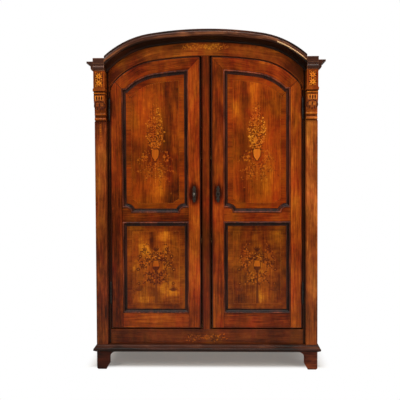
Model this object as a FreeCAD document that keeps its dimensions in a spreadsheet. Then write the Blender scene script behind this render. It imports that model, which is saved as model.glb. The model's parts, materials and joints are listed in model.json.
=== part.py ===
import FreeCAD, Part
import math
import os

import Sketcher
from FreeCAD import Rotation, Vector

# Two-door arched cupboard, millimetres.
# +Z is up, the front faces -Y, +X is to the right of someone facing the front.
# The origin is the centre of the overall box, on the floor.

doc = FreeCAD.newDocument("arched_cupboard")

# ---------------------------------------------------------------- driving sizes

SIZES = {
    # case
    "body_width": 1374,
    "case_depth": 540,
    "overall_height": 2095,
    "foot_height": 110,
    "post_width": 87,
    "front_post_depth": 55,
    "back_post_depth": 45,
    "centre_post_width": 52,
    "frame_thick": 28,
    "plinth_height": 137,
    "side_top_drop": 6,
    "side_slab_thick": 12,
    "side_rail_thick": 30,
    "side_top_rail_height": 110,
    "side_middle_rail_height": 95,
    "side_middle_rail_level": 930,
    "side_bottom_rail_height": 150,
    "side_panel_thick": 10,
    "side_panel_recess": 14,
    "back_thick": 12,
    "back_board_gap": 1.6,
    "back_board_count": 8,
    "back_bottom_height": 160,
    "bottom_board_thick": 20,
    "shelf_thick": 20,
    "shelf_clearance": 0.5,
    "shelf_setback": 62,
    "lower_shelf_height": 800,
    "upper_shelf_height": 1330,
    "cleat_width": 23,
    "cleat_height": 26,
    "roof_thick": 12,
    "roof_drop": 10,
    # arch over the doors
    "frieze_height": 150,
    "crown_angle": 8.4,
    "haunch_angle": 45.6,
    "haunch_radius": 404,
    "shoulder_radius": 145,
    "header_toe": 3,
    # arch of the cornice
    "cornice_crown_angle": 8.87,
    "cornice_haunch_radius": 543,
    "cornice_haunch_inset": 346,
    "cornice_front": 90,
    "cornice_fascia": 31,
    "cornice_fillet_back": 7,
    "cornice_fillet": 9,
    "cornice_cove_front": 74,
    "cornice_cove_back": 8,
    "cornice_cove": 27,
    "cornice_cove_radius": 90,
    # pilaster
    "pilaster_width": 75,
    "pilaster_thick": 25,
    "pilaster_chamfer": 7,
    # console, from its foot upwards: how far each part stands out, and its height
    "console_inset": 3.5,
    "console_foot_front": 29,
    "console_foot_height": 7,
    "console_bead_front": 38,
    "console_bead_height": 15,
    "console_bead_radius": 8.5,
    "console_neck_front": 35,
    "console_neck_height": 14,
    "console_scroll_foot": 42,
    "console_scroll_front": 74,
    "console_scroll_height": 107,
    "console_scroll_radius": 72,
    "console_quirk_front": 70,
    "console_quirk_height": 7,
    "console_band_front": 77,
    "console_band_height": 8,
    "console_lip_front": 86,
    "console_lip_height": 17,
    "console_lip_overhang": 3,
    "console_die_front": 80,
    "console_die_height": 108,
    # capital
    "capital_drop": 171,
    "capital_front": 96,
    "capital_neck_height": 4,
    "capital_bead_foot": 83,
    "capital_bead_front": 89,
    "capital_bead_height": 22,
    "capital_bead_radius": 13,
    "capital_cove_height": 16,
    "capital_cove_radius": 14,
    "capital_fascia_height": 33,
    # side cornice
    "side_cornice_reach": 52,
    "side_cornice_nose": 4,
    "side_cornice_cove_height": 20,
    "side_cornice_cove_radius": 22,
    "side_cornice_step_reach": 27,
    "side_cornice_fillet": 6,
    "side_cornice_bead_height": 22,
    "side_cornice_bead_reach": 10,
    "side_cornice_bead_radius": 21,
    # base moulding
    "base_height": 46,
    "base_reach": 20,
    "base_drip": 10,
    "base_lip": 6,
    "base_step_reach": 11,
    "base_step_height": 27,
    "base_bead_radius": 11,
    "base_fillet_reach": 8,
    "base_fillet_height": 35,
    "base_cove_radius": 12,
    # feet
    "foot_width": 81,
    "foot_sole": 59,
    "foot_toe_height": 38,
    "foot_round": 8,
    "foot_bracket_radius": 38,
    "foot_thick": 28,
    "foot_setback": 3,
    # doors
    "door_thick": 26,
    "door_gap": 4,
    "lock_gap": 7.5,
    "sill_gap": 8,
    "hinge_stile_width": 73,
    "lock_stile_width": 75,
    "top_rail_depth": 77,
    "bottom_rail_height": 93.5,
    "lower_panel_height": 571.5,
    "mid_rail_height": 57,
    "ear_clear": 0.1,
    "notch_step": 24.5,
    "notch_radius": 33,
    "panel_recess": 10,
    "panel_thick": 8,
    "panel_clearance": 0.2,
    "moulding_width": 24,
    "moulding_bead": 9,
    "moulding_bead_drop": 1,
    "moulding_bead_rise": 2,
    "moulding_fillet": 3,
    "moulding_heel": 2,
    # hinges
    "hinge_radius": 6.5,
    "hinge_stand": 7,
    "hinge_half_length": 62,
    "hinge_running_gap": 0.4,
    "hinge_pin_radius": 3,
    "hinge_pin_length": 48,
    "hinge_pin_clearance": 0.05,
    "hinge_pin_head_gap": 2,
    "hinge_finial_length": 9,
    "hinge_leaf_thick": 1.7,
    "hinge_leaf_start": 4,
    "hinge_leaf_depth": 22,
    "hinge_leaf_inset": 5,
    "lower_hinge_rise": 128.5,
    "upper_hinge_drop": 129,
    # locks and key
    "lock_height": 1092,
    "key_setback": 40.5,
    "lock_case_width": 60,
    "lock_case_half_height": 46,
    "lock_case_thick": 14,
    "lock_case_clearance": 0.2,
    "lock_wall": 2,
    "bolt_low": 11,
    "bolt_height": 12,
    "bolt_thick": 6,
    "bolt_length": 42,
    "bolt_tip_inset": 1,
    "bolt_clearance": 0.3,
    "bolt_run_out": 2,
    "mortise_depth": 17,
    "mortise_clearance": 1.5,
    "keyhole_radius": 5,
    "keyhole_slot_width": 4,
    "keyhole_slot_drop": 13,
    "key_room": 9.4,
    "key_shaft_radius": 3.5,
    "key_clearance": 0.05,
    "key_reach": 23,
    "key_stem": 18,
    "key_bow_sink": 2,
    "key_bow_radius": 12.5,
    "key_bow_hole_radius": 7.8,
    "key_bow_thick": 4.4,
    "key_bit_start": 15,
    "key_bit_width": 7,
    "key_bit_drop": 8.5,
    "key_bit_thick": 2.4,
    "escutcheon_thick": 2,
    "escutcheon_half_height": 50,
    "escutcheon_lobe": 9,
    "escutcheon_lobe_level": 36,
    "escutcheon_waist": 6,
    "escutcheon_waist_level": 28,
    "escutcheon_half_width": 12.5,
    "escutcheon_belly_level": 10,
}

# ------------------------------------------------------- places that follow them

PLACES = {
    "half_body": "Sizes.body_width / 2",
    "face": "(Sizes.capital_front - Sizes.case_depth) / 2",
    "back": "(Sizes.capital_front + Sizes.case_depth) / 2",
    "post_inner": "half_body - Sizes.post_width",
    "capital_top": "Sizes.overall_height - Sizes.capital_drop",
    "side_top": "capital_top - Sizes.side_top_drop",
    "post_top": "side_top - Sizes.side_slab_thick",
    "opening_apex": "Sizes.overall_height - Sizes.frieze_height",
    "centre_half": "Sizes.centre_post_width / 2",
    "front_post_back": "face + Sizes.front_post_depth",
    "back_post_front": "back - Sizes.back_post_depth",
    "frame_back": "face + Sizes.frame_thick",
    "back_inside": "back - Sizes.back_thick",
    "side_rail_inner": "half_body - Sizes.side_rail_thick",
    "side_panel_outer": "half_body - Sizes.side_panel_recess",
    "side_panel_inner": "side_panel_outer - Sizes.side_panel_thick",
    "plinth_top": "Sizes.foot_height + Sizes.plinth_height",
    "pilaster_front": "face - Sizes.pilaster_thick",
    "pilaster_inner": "half_body - Sizes.pilaster_width",
    "console_inner": "pilaster_inner + Sizes.console_inset",
    "console_outer": "half_body - Sizes.console_inset",
    "base_top": "Sizes.foot_height + Sizes.base_height",
    # capital and console, from the top down
    "capital_fascia_foot": "capital_top - Sizes.capital_fascia_height",
    "capital_bead_top": "capital_fascia_foot - Sizes.capital_cove_height",
    "capital_neck_top": "capital_bead_top - Sizes.capital_bead_height",
    "capital_bottom": "capital_neck_top - Sizes.capital_neck_height",
    "lip_top": "capital_bottom - Sizes.console_die_height",
    "lip_bottom": "lip_top - Sizes.console_lip_height",
    "band_top": "lip_bottom - Sizes.console_quirk_height",
    "band_bottom": "band_top - Sizes.console_band_height",
    "scroll_top": "band_bottom - Sizes.console_quirk_height",
    "scroll_middle": "scroll_top - Sizes.console_scroll_height / 2",
    "scroll_bottom": "scroll_top - Sizes.console_scroll_height",
    "scroll_middle_front": "(Sizes.console_scroll_foot + Sizes.console_scroll_front) / 2",
    "neck_top": "scroll_bottom - Sizes.console_bead_height",
    "neck_bottom": "neck_top - Sizes.console_neck_height",
    "console_foot_top": "neck_bottom - Sizes.console_bead_height",
    "console_bottom": "console_foot_top - Sizes.console_foot_height",
    # arch over the doors: three radii, each tangent to the next
    "shoulder_run": "Sizes.shoulder_radius * (1 - sin(Sizes.haunch_angle))",
    "haunch_x": "post_inner - Sizes.haunch_radius * sin(Sizes.haunch_angle) - shoulder_run",
    "crown_reach": "haunch_x / sin(Sizes.crown_angle)",
    "crown_radius": "crown_reach + Sizes.haunch_radius",
    "crown_z": "opening_apex - crown_radius",
    "haunch_z": "crown_z + crown_reach * cos(Sizes.crown_angle)",
    "shoulder_step": "Sizes.haunch_radius - Sizes.shoulder_radius",
    "shoulder_x": "haunch_x + shoulder_step * sin(Sizes.haunch_angle)",
    "shoulder_z": "haunch_z + shoulder_step * cos(Sizes.haunch_angle)",
    # arch of the cornice: crown and haunches only
    "cornice_haunch_x": "post_inner - Sizes.cornice_haunch_inset",
    "cornice_crown_reach": "cornice_haunch_x / sin(Sizes.cornice_crown_angle)",
    "cornice_crown_radius": "cornice_crown_reach + Sizes.cornice_haunch_radius",
    "cornice_crown_z": "Sizes.overall_height - cornice_crown_radius",
    "cornice_haunch_z": "cornice_crown_z + cornice_crown_reach * cos(Sizes.cornice_crown_angle)",
    # doors
    "door_outer": "post_inner - Sizes.door_gap",
    "door_inner": "centre_half + Sizes.lock_gap",
    "door_back": "face + Sizes.door_thick",
    "door_bottom": "plinth_top + Sizes.sill_gap",
    "hinge_stile_inner": "door_outer - Sizes.hinge_stile_width",
    "bead_ridge_x": "hinge_stile_inner - Sizes.moulding_bead / 2",
    "lock_stile_inner": "door_inner + Sizes.lock_stile_width",
    "lower_open_bottom": "door_bottom + Sizes.bottom_rail_height",
    "lower_open_top": "lower_open_bottom + Sizes.lower_panel_height",
    "upper_open_bottom": "lower_open_top + Sizes.mid_rail_height",
    "panel_front": "face + Sizes.panel_recess",
    "panel_back": "panel_front + Sizes.panel_thick",
    "rail_inset": "Sizes.door_gap + Sizes.top_rail_depth",
    "lower_middle": "(lower_open_bottom + lower_open_top) / 2",
    # hinges
    "lower_hinge_level": "lower_open_bottom + Sizes.lower_hinge_rise",
    "hinge_x": "post_inner - Sizes.door_gap / 2",
    "hinge_y": "face - Sizes.hinge_stand",
    "hinge_half_gap": "Sizes.hinge_running_gap / 2",
    "hinge_bore_radius": "Sizes.hinge_pin_radius + Sizes.hinge_pin_clearance",
    # locks
    "key_x": "door_inner + Sizes.key_setback",
    "lock_case_end": "door_inner + Sizes.lock_case_width",
    "lock_case_front": "door_back - Sizes.lock_case_thick",
    "bolt_front": "lock_case_front + (Sizes.lock_case_thick - Sizes.bolt_thick) / 2",
    "bolt_back": "bolt_front + Sizes.bolt_thick",
    "bolt_bottom": "Sizes.lock_height + Sizes.bolt_low",
    "bolt_top": "bolt_bottom + Sizes.bolt_height",
    "slot_half": "Sizes.keyhole_slot_width / 2",
    "bit_half": "Sizes.key_bit_thick / 2",
    "bow_half": "Sizes.key_bow_thick / 2",
}


def arch_places(prefix, source, inset, with_shoulder):
    """Adds the tangent points of a curve parallel to one of the two arches, inset towards the floor."""
    crown = "Sizes.%scrown_angle" % source
    PLACES[prefix + "_crown_r"] = "%scrown_radius - (%s)" % (source, inset)
    PLACES[prefix + "_haunch_r"] = "Sizes.%shaunch_radius - (%s)" % (source, inset)
    PLACES[prefix + "_crown_end_x"] = "%s_crown_r * sin(%s)" % (prefix, crown)
    PLACES[prefix + "_crown_end_z"] = "%scrown_z + %s_crown_r * cos(%s)" % (source, prefix, crown)
    if with_shoulder:
        haunch = "Sizes.haunch_angle"
        PLACES[prefix + "_shoulder_r"] = "Sizes.shoulder_radius - (%s)" % inset
        PLACES[prefix + "_haunch_end_x"] = "haunch_x + %s_haunch_r * sin(%s)" % (prefix, haunch)
        PLACES[prefix + "_haunch_end_z"] = "haunch_z + %s_haunch_r * cos(%s)" % (prefix, haunch)


def crossing_z(name, source, radius, x):
    """Adds the height at which a haunch curve crosses the upright line x."""
    rise = "sqrt((%s)^2 - (%s - %shaunch_x)^2)" % (radius, x, source)
    PLACES[name] = "%shaunch_z + %s" % (source, rise)


def crossing_x(name, source, radius, z):
    """Adds the distance from the middle at which a haunch curve crosses the level z."""
    run = "sqrt((%s)^2 - (%s - %shaunch_z)^2)" % (radius, z, source)
    PLACES[name] = "%shaunch_x + %s" % (source, run)


arch_places("opening", "", "0", True)
arch_places("door", "", "Sizes.door_gap", True)
arch_places("rail", "", "rail_inset", False)
arch_places("panel", "", "rail_inset + Sizes.panel_clearance", False)
arch_places("header", "cornice_", "Sizes.roof_drop + Sizes.roof_thick", False)
arch_places("roof", "cornice_", "Sizes.roof_drop", False)
arch_places("edge", "cornice_", "0", False)

crossing_z("header_side_z", "cornice_", "header_haunch_r", "post_inner")
crossing_x("roof_inner_x", "cornice_", "header_haunch_r", "side_top")
crossing_x("roof_outer_x", "cornice_", "roof_haunch_r", "side_top")
# the ear under the haunch is as long as the moulding is wide, and a little longer
PLACES["ear_inner_x"] = "hinge_stile_inner - Sizes.moulding_width - Sizes.ear_clear"
crossing_z("ear_level", "", "rail_haunch_r", "ear_inner_x")
PLACES["upper_middle"] = "(upper_open_bottom + ear_level) / 2"
PLACES["upper_hinge_level"] = "ear_level - Sizes.upper_hinge_drop"
crossing_x("panel_ear_x", "", "panel_haunch_r", "(ear_level - Sizes.panel_clearance)")

# the crown curves, where they cross an upright line near the middle
PLACES["centre_post_top"] = "crown_z + sqrt(crown_radius^2 - centre_half^2)"
PLACES["lock_stile_top"] = "crown_z + sqrt(door_crown_r^2 - door_inner^2)"
PLACES["rail_lock_z"] = "crown_z + sqrt(rail_crown_r^2 - lock_stile_inner^2)"
PLACES["rail_door_z"] = "crown_z + sqrt(rail_crown_r^2 - door_inner^2)"
# the moulding's mitre at the lock stile halves the angle between the stile and the crown curve
PLACES["lock_mitre_ratio"] = "(rail_crown_r + lock_stile_inner) / (rail_crown_r - lock_stile_inner)"
PLACES["lock_mitre_z"] = "rail_lock_z - Sizes.moulding_width * sqrt(lock_mitre_ratio)"
PLACES["panel_lock_x"] = "lock_stile_inner + Sizes.panel_clearance"
PLACES["panel_lock_z"] = "crown_z + sqrt(panel_crown_r^2 - panel_lock_x^2)"
# the header stops where it would be thinner than its toe
PLACES["toe_x"] = "post_inner - Sizes.header_toe"
PLACES["toe_z"] = "shoulder_z + sqrt(Sizes.shoulder_radius^2 - (toe_x - shoulder_x)^2)"
# the mitre at the hinge side runs at 45 degrees from the ear to the shoulder curve
PLACES["mitre_across"] = "hinge_stile_inner - shoulder_x"
PLACES["mitre_up"] = "ear_level - shoulder_z"
PLACES["mitre_half_sum"] = "(mitre_across + mitre_up) / 2"
PLACES["mitre_square"] = "(mitre_across^2 + mitre_up^2 - door_shoulder_r^2) / 2"
PLACES["mitre_run"] = "sqrt(mitre_half_sum^2 - mitre_square) - mitre_half_sum"
PLACES["mitre_x"] = "hinge_stile_inner + mitre_run"
PLACES["mitre_z"] = "ear_level + mitre_run"


def sheet_with(name, entries, start):
    """A spreadsheet with one named cell a row."""
    sheet = doc.addObject("Spreadsheet::Sheet", name)
    for row, (alias, content) in enumerate(entries.items(), 1):
        sheet.set("A%d" % row, alias)
        sheet.set("B%d" % row, start + str(content))
        sheet.setAlias("B%d" % row, alias)
    doc.recompute()
    return sheet


sizes = sheet_with("Sizes", SIZES, "")
places = sheet_with("Places", PLACES, "=")


# ---------------------------------------------------------------- small language
# A measure is a sum of signed names from the two sheets, such as "face - foot_thick".

def measure_terms(measure):
    """The signed names in a measure."""
    sign = 1
    terms = []
    for word in measure.replace("-", " - ").replace("+", " + ").split():
        if word == "-":
            sign = -sign
        elif word != "+":
            terms.append((sign, word))
            sign = 1
    return terms


def number(measure):
    """What a measure comes to, in millimetres."""
    total = 0.0
    for sign, name in measure_terms(measure):
        if name in SIZES:
            total += sign * float(sizes.get(name))
        elif name in PLACES:
            total += sign * float(places.get(name))
        elif name != "0":
            raise ValueError("no size is called " + name)
    return total


def expression(measure):
    """The same measure as an expression that an object's property can be bound to."""
    words = ["0"]
    for sign, name in measure_terms(measure):
        sheet = "Sizes." if name in SIZES else "Places." if name in PLACES else ""
        words.append(("- " if sign < 0 else "+ ") + sheet + name)
    return " ".join(words)


def negative(measure):
    return " ".join(("+ " if sign < 0 else "- ") + name for sign, name in measure_terms(measure))


def between(low, high):
    """The measure from low to high."""
    return high + " " + negative(low)


def bind(thing, prop, measure):
    thing.setExpression(prop, expression(measure))


# ------------------------------------------------------------- ways to make a piece

NODES = []


def node(thing, label):
    """Names a finished sub-part, which becomes one file."""
    thing.Label = label
    NODES.append(thing)
    return thing


def board(name, x, y, z):
    """A squared board between pairs of measures."""
    box = doc.addObject("Part::Box", name)
    for axis, prop, (low, high) in (("x", "Length", x), ("y", "Width", y), ("z", "Height", z)):
        bind(box, "Placement.Base." + axis, low)
        bind(box, prop, between(low, high))
    return box


def rod(name, radius, x, y, z):
    """A round bar along the one axis whose measure is a pair."""
    cylinder = doc.addObject("Part::Cylinder", name)
    bind(cylinder, "Radius", radius)
    for axis, place in (("x", x), ("y", y), ("z", z)):
        start = place
        if isinstance(place, tuple):
            start = place[0]
            direction = Vector(axis == "x", axis == "y", axis == "z")
            cylinder.Placement.Rotation = Rotation(Vector(0, 0, 1), direction)
            bind(cylinder, "Height", between(*place))
        bind(cylinder, "Placement.Base." + axis, start)
    return cylinder


def joined(name, shapes):
    fuse = doc.addObject("Part::MultiFuse", name)
    fuse.Shapes = shapes
    return fuse


def cut_away(name, base, tools):
    """The base less its tools."""
    cut = doc.addObject("Part::Cut", name)
    cut.Base = base
    cut.Tool = tools[0] if len(tools) == 1 else joined(name + "_tools", tools)
    return cut


def group(name, shapes):
    """Separate solids kept as one sub-part."""
    compound = doc.addObject("Part::Compound", name)
    compound.Links = shapes
    return compound


def mirrored(name, source):
    """The same thing on the other side of the middle plane."""
    mirror = doc.addObject("Part::Mirroring", name)
    mirror.Source = source
    mirror.Normal = Vector(1, 0, 0)
    return mirror


def both_sides(label, make):
    """A right-hand sub-part from its maker, and its mirror image on the left."""
    right = node(make("right_" + label), "right_" + label)
    node(mirrored("left_" + label, right), "left_" + label)
    return right


# --- sketches

def origin_plane(body, role):
    return [item for item in body.Origin.OriginFeatures if item.Role == role][0]


def sketch_on(body, name, role, offset):
    """A sketch on one of the body's own planes, moved along the plane's normal."""
    sketch = body.newObject("Sketcher::SketchObject", name)
    sketch.AttachmentSupport = [(origin_plane(body, role), "")]
    sketch.MapMode = "FlatFace"
    bind(sketch, "AttachmentOffset.Base.z", offset)
    return sketch


def arc_centre(start, stop, radius, turn):
    """The centre of the shorter arc from start to stop; turn 1 is anticlockwise, -1 clockwise."""
    chord = stop - start
    rise = math.sqrt(max(radius ** 2 - (chord.Length / 2) ** 2, 0.0))
    across = Vector(-chord.y, chord.x, 0).normalize()
    return (start + stop) / 2 + across * rise * turn


def fix_point(sketch, edge, end, point):
    """Ties an end of an edge to its place in the sketch."""
    for kind, measure, axis in (("DistanceX", point[0], -2), ("DistanceY", point[1], -1)):
        if measure == "0":
            sketch.addConstraint(Sketcher.Constraint("PointOnObject", edge, end, axis))
        else:
            index = sketch.addConstraint(
                Sketcher.Constraint(kind, -1, 1, edge, end, number(measure)))
            bind(sketch, "Constraints[%d]" % index, measure)


def draw(sketch, corners, arcs=None, closed=True):
    """An outline through corners.

    arcs maps the number of a corner to (radius, turn): the edge that leaves the corner is then
    the shorter arc of that radius, with turn 1 anticlockwise and -1 clockwise.
    """
    arcs = arcs or {}
    points = [Vector(number(across), number(up), 0) for across, up in corners]
    edge_count = len(corners) if closed else len(corners) - 1
    ends = []
    for place in range(edge_count):
        start = points[place]
        stop = points[(place + 1) % len(points)]
        if place in arcs:
            radius, turn = arcs[place]
            centre = arc_centre(start, stop, number(radius), turn)
            circle = Part.Circle(centre, Vector(0, 0, 1), number(radius))
            angles = [math.atan2(p.y - centre.y, p.x - centre.x) for p in (start, stop)]
            edge = sketch.addGeometry(Part.ArcOfCircle(circle, *angles[::turn]))
            ends.append((edge, 1, 2) if turn > 0 else (edge, 2, 1))
            index = sketch.addConstraint(Sketcher.Constraint("Radius", edge, number(radius)))
            bind(sketch, "Constraints[%d]" % index, radius)
        else:
            edge = sketch.addGeometry(Part.LineSegment(start, stop))
            ends.append((edge, 1, 2))
    for place, (edge, first, second) in enumerate(ends):
        fix_point(sketch, edge, first, corners[place])
        if closed or place < edge_count - 1:
            following = ends[(place + 1) % edge_count]
            sketch.addConstraint(
                Sketcher.Constraint("Coincident", edge, second, following[0], following[1]))
        else:
            fix_point(sketch, edge, second, corners[-1])
    return sketch


UPRIGHT = Rotation(Vector(1, 0, 0), 90)


def free_sketch(name, turn, axis, offset, corners, arcs, closed=True):
    """A sketch outside any body, turned and then moved along one axis."""
    sketch = doc.addObject("Sketcher::SketchObject", name)
    sketch.Placement.Rotation = turn
    bind(sketch, "Placement.Base." + axis, offset)
    return draw(sketch, corners, arcs, closed)


def padded(name, plane, corners, arcs, start, length):
    """A board whose outline lies on a plane of its body, from start along the plane's normal."""
    body = doc.addObject("PartDesign::Body", name)
    sketch = sketch_on(body, name + "_outline", plane, start)
    draw(sketch, corners, arcs)
    feature = body.newObject("PartDesign::Pad", name + "_pad")
    feature.Profile = sketch
    bind(feature, "Length", length)
    return body


def front_board(name, corners, arcs, y):
    """A board with this outline from the front, between the pair of measures y."""
    return padded(name, "XZ_Plane", corners, arcs, negative(y[1]), between(*y))


def side_board(name, corners, arcs, x):
    """A board with this outline from the side, between the pair of measures x."""
    return padded(name, "YZ_Plane", corners, arcs, x[0], between(*x))


def plan_board(name, corners, arcs, z):
    """A board with this outline from above, between the pair of measures z."""
    return padded(name, "XY_Plane", corners, arcs, z[0], between(*z))


def swept(name, profile, path, transition="Transformed"):
    """A moulding: a profile carried along a path.

    profile and path are (plane, offset, corners, arcs, closed) of a sketch.
    """
    body = doc.addObject("PartDesign::Body", name)
    sketches = []
    for part, (plane, offset, corners, arcs, closed) in (("path", path), ("profile", profile)):
        sketch = sketch_on(body, name + "_" + part, plane, offset)
        sketches.append(draw(sketch, corners, arcs, closed))
    pipe = body.newObject("PartDesign::AdditivePipe", name + "_pipe")
    pipe.Profile = sketches[1]
    pipe.Spine = (sketches[0], [])
    pipe.Transition = transition
    return body


def turned(name, corners, x, y, z):
    """A turned piece: corners are (radius, height) about an upright axis that stands at x, y, z."""
    body = doc.addObject("PartDesign::Body", name)
    sketch = sketch_on(body, name + "_half", "XZ_Plane", "0")
    draw(sketch, corners)
    feature = body.newObject("PartDesign::Revolution", name + "_turning")
    feature.Profile = sketch
    feature.ReferenceAxis = (sketch, ["V_Axis"])
    feature.Angle = 360
    for axis, measure in (("x", x), ("y", y), ("z", z)):
        bind(body, "Placement.Base." + axis, measure)
    return body


# ------------------------------------------------------------------------ the case

def front_post(name):
    """A squared corner post behind the pilaster."""
    return board(name, ("post_inner", "half_body"), ("face", "front_post_back"), ("foot_height", "post_top"))


def back_post(name):
    return board(name, ("post_inner", "half_body"), ("back_post_front", "back"), ("foot_height", "post_top"))


def pilaster(name):
    """A flat pilaster, its inner arris taken off."""
    corners = [
        ("pilaster_inner", "face"),
        ("pilaster_inner", "pilaster_front + pilaster_chamfer"),
        ("pilaster_inner + pilaster_chamfer", "pilaster_front"),
        ("half_body", "pilaster_front"),
        ("half_body", "face"),
    ]
    return plan_board(name, corners, {}, ("base_top", "console_bottom"))


def console(name):
    """The scrolled bracket over the pilaster: foot, bead, neck, bead, scroll, bands, lip and die."""
    corners = [
        ("face", "console_bottom"),
        ("face - console_foot_front", "console_bottom"),
        ("face - console_foot_front", "console_foot_top"),
        ("face - console_bead_front", "console_foot_top"),
        ("face - console_bead_front", "neck_bottom"),
        ("face - console_neck_front", "neck_bottom"),
        ("face - console_neck_front", "neck_top"),
        ("face - console_bead_front", "neck_top"),
        ("face - console_bead_front", "scroll_bottom"),
        ("face - console_scroll_foot", "scroll_bottom"),
        ("face - scroll_middle_front", "scroll_middle"),
        ("face - console_scroll_front", "scroll_top"),
        ("face - console_quirk_front", "scroll_top"),
        ("face - console_quirk_front", "band_bottom"),
        ("face - console_band_front", "band_bottom"),
        ("face - console_band_front", "band_top"),
        ("face - console_quirk_front", "band_top"),
        ("face - console_quirk_front", "lip_top"),
        ("face - console_die_front", "lip_top"),
        ("face - console_die_front", "capital_bottom"),
        ("face", "capital_bottom"),
    ]
    arcs = {
        3: ("console_bead_radius", -1),
        7: ("console_bead_radius", -1),
        9: ("console_scroll_radius", 1),
        10: ("console_scroll_radius", -1),
    }
    bracket = side_board(name + "_bracket", corners, arcs, ("console_inner", "console_outer"))
    lip = board(
        name + "_lip",
        ("console_inner - console_lip_overhang", "console_outer + console_lip_overhang"),
        ("face - console_lip_front", "face"),
        ("lip_bottom", "lip_top"),
    )
    return joined(name, [bracket, lip])


def capital(name):
    """Neck, ovolo, cove and fascia over the console."""
    corners = [
        ("face", "capital_bottom"),
        ("face - console_die_front", "capital_bottom"),
        ("face - console_die_front", "capital_neck_top"),
        ("face - capital_bead_foot", "capital_neck_top"),
        ("face - capital_bead_front", "capital_bead_top"),
        ("face - capital_front", "capital_fascia_foot"),
        ("face - capital_front", "capital_top"),
        ("face", "capital_top"),
    ]
    arcs = {3: ("capital_bead_radius", -1), 4: ("capital_cove_radius", 1)}
    return side_board(name, corners, arcs, ("console_inner", "console_outer"))


def side_cornice(name):
    """The flat top board of a side, with its bead and cove running to the back."""
    cove_top = "half_body + side_cornice_reach - side_cornice_nose"
    fillet_top = "post_top - side_cornice_cove_height"
    bead_top = fillet_top + " - side_cornice_fillet"
    foot = bead_top + " - side_cornice_bead_height"
    corners = [
        ("post_inner", "side_top"),
        ("post_inner", "post_top"),
        ("half_body", "post_top"),
        ("half_body", foot),
        ("half_body + side_cornice_bead_reach", foot),
        ("half_body + side_cornice_step_reach", bead_top),
        ("half_body + side_cornice_step_reach", fillet_top),
        (cove_top, "post_top"),
        ("half_body + side_cornice_reach", "post_top"),
        ("half_body + side_cornice_reach", "side_top"),
    ]
    arcs = {4: ("side_cornice_bead_radius", 1), 6: ("side_cornice_cove_radius", -1)}
    return front_board(name, corners, arcs, ("face", "back"))


def arched_cornice():
    """The main moulding, carried along the crown and haunch of the arch and stopped by the capitals."""
    cove_top = "overall_height - cornice_fascia - cornice_fillet"
    profile = [
        ("face", "overall_height"),
        ("face - cornice_front", "overall_height"),
        ("face - cornice_front", "overall_height - cornice_fascia"),
        ("face - cornice_front + cornice_fillet_back", "overall_height - cornice_fascia"),
        ("face - cornice_front + cornice_fillet_back", cove_top),
        ("face - cornice_cove_front", cove_top),
        ("face - cornice_cove_back", cove_top + " - cornice_cove"),
        ("face", cove_top + " - cornice_cove"),
    ]
    path = [
        ("0", "overall_height"),
        ("edge_crown_end_x", "edge_crown_end_z"),
        ("cornice_haunch_x + cornice_haunch_radius", "cornice_haunch_z"),
    ]
    path_arcs = {0: ("edge_crown_r", -1), 1: ("cornice_haunch_radius", -1)}
    half = swept(
        "cornice_half",
        ("YZ_Plane", "0", profile, {5: ("cornice_cove_radius", -1)}, True),
        ("XZ_Plane", negative("face"), path, path_arcs, False),
    )
    room = board(
        "cornice_room",
        ("0", "console_inner"),
        ("face - capital_front", "face"),
        ("cornice_haunch_z", "overall_height"),
    )
    kept = doc.addObject("Part::Common", "cornice_right")
    kept.Base = half
    kept.Tool = room
    node(joined("arched_cornice", [kept, mirrored("cornice_left", kept)]), "arched_cornice")


def vault(prefix, ends):
    """Corners and arcs of a curve parallel to the cornice, from its right end to its left end."""
    right = [ends, (prefix + "_crown_end_x", prefix + "_crown_end_z")]
    left = [(negative(across), up) for across, up in reversed(right)]
    arcs = [(prefix + "_haunch_r", 1), (prefix + "_crown_r", 1), (prefix + "_haunch_r", 1)]
    return right + left, arcs


def turned_back(corners, arcs):
    """The same curve the other way round."""
    return corners[::-1], [(radius, -turn) for radius, turn in reversed(arcs)]


def arch_opening():
    """The arch over the doors from its left toe to its right toe."""
    right = [
        ("opening_crown_end_x", "opening_crown_end_z"),
        ("opening_haunch_end_x", "opening_haunch_end_z"),
        ("toe_x", "toe_z"),
    ]
    left = [(negative(across), up) for across, up in reversed(right)]
    arcs = [
        ("shoulder_radius", -1),
        ("haunch_radius", -1),
        ("crown_radius", -1),
        ("haunch_radius", -1),
        ("shoulder_radius", -1),
    ]
    return left + right, arcs


def arched_header():
    """The board between the doors and the cornice, arched above and below."""
    below, below_arcs = arch_opening()
    above, above_arcs = vault("header", ("post_inner", "header_side_z"))
    corners = [("- post_inner", "toe_z")] + below + [("post_inner", "toe_z")] + above
    arcs = {1 + place: arc for place, arc in enumerate(below_arcs)}
    first_above = len(below) + 2
    arcs.update({first_above + place: arc for place, arc in enumerate(above_arcs)})
    node(front_board("arched_header", corners, arcs, ("face", "frame_back")), "arched_header")


def roof_boards():
    """The vaulted roof, which follows the cornice to the back."""
    outside, outside_arcs = vault("roof", ("roof_outer_x", "side_top"))
    inside, inside_arcs = turned_back(*vault("header", ("roof_inner_x", "side_top")))
    arcs = dict(enumerate(outside_arcs))
    arcs.update({len(outside) + place: arc for place, arc in enumerate(inside_arcs)})
    node(front_board("roof_boards", outside + inside, arcs, ("face", "back")), "roof_boards")


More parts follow.
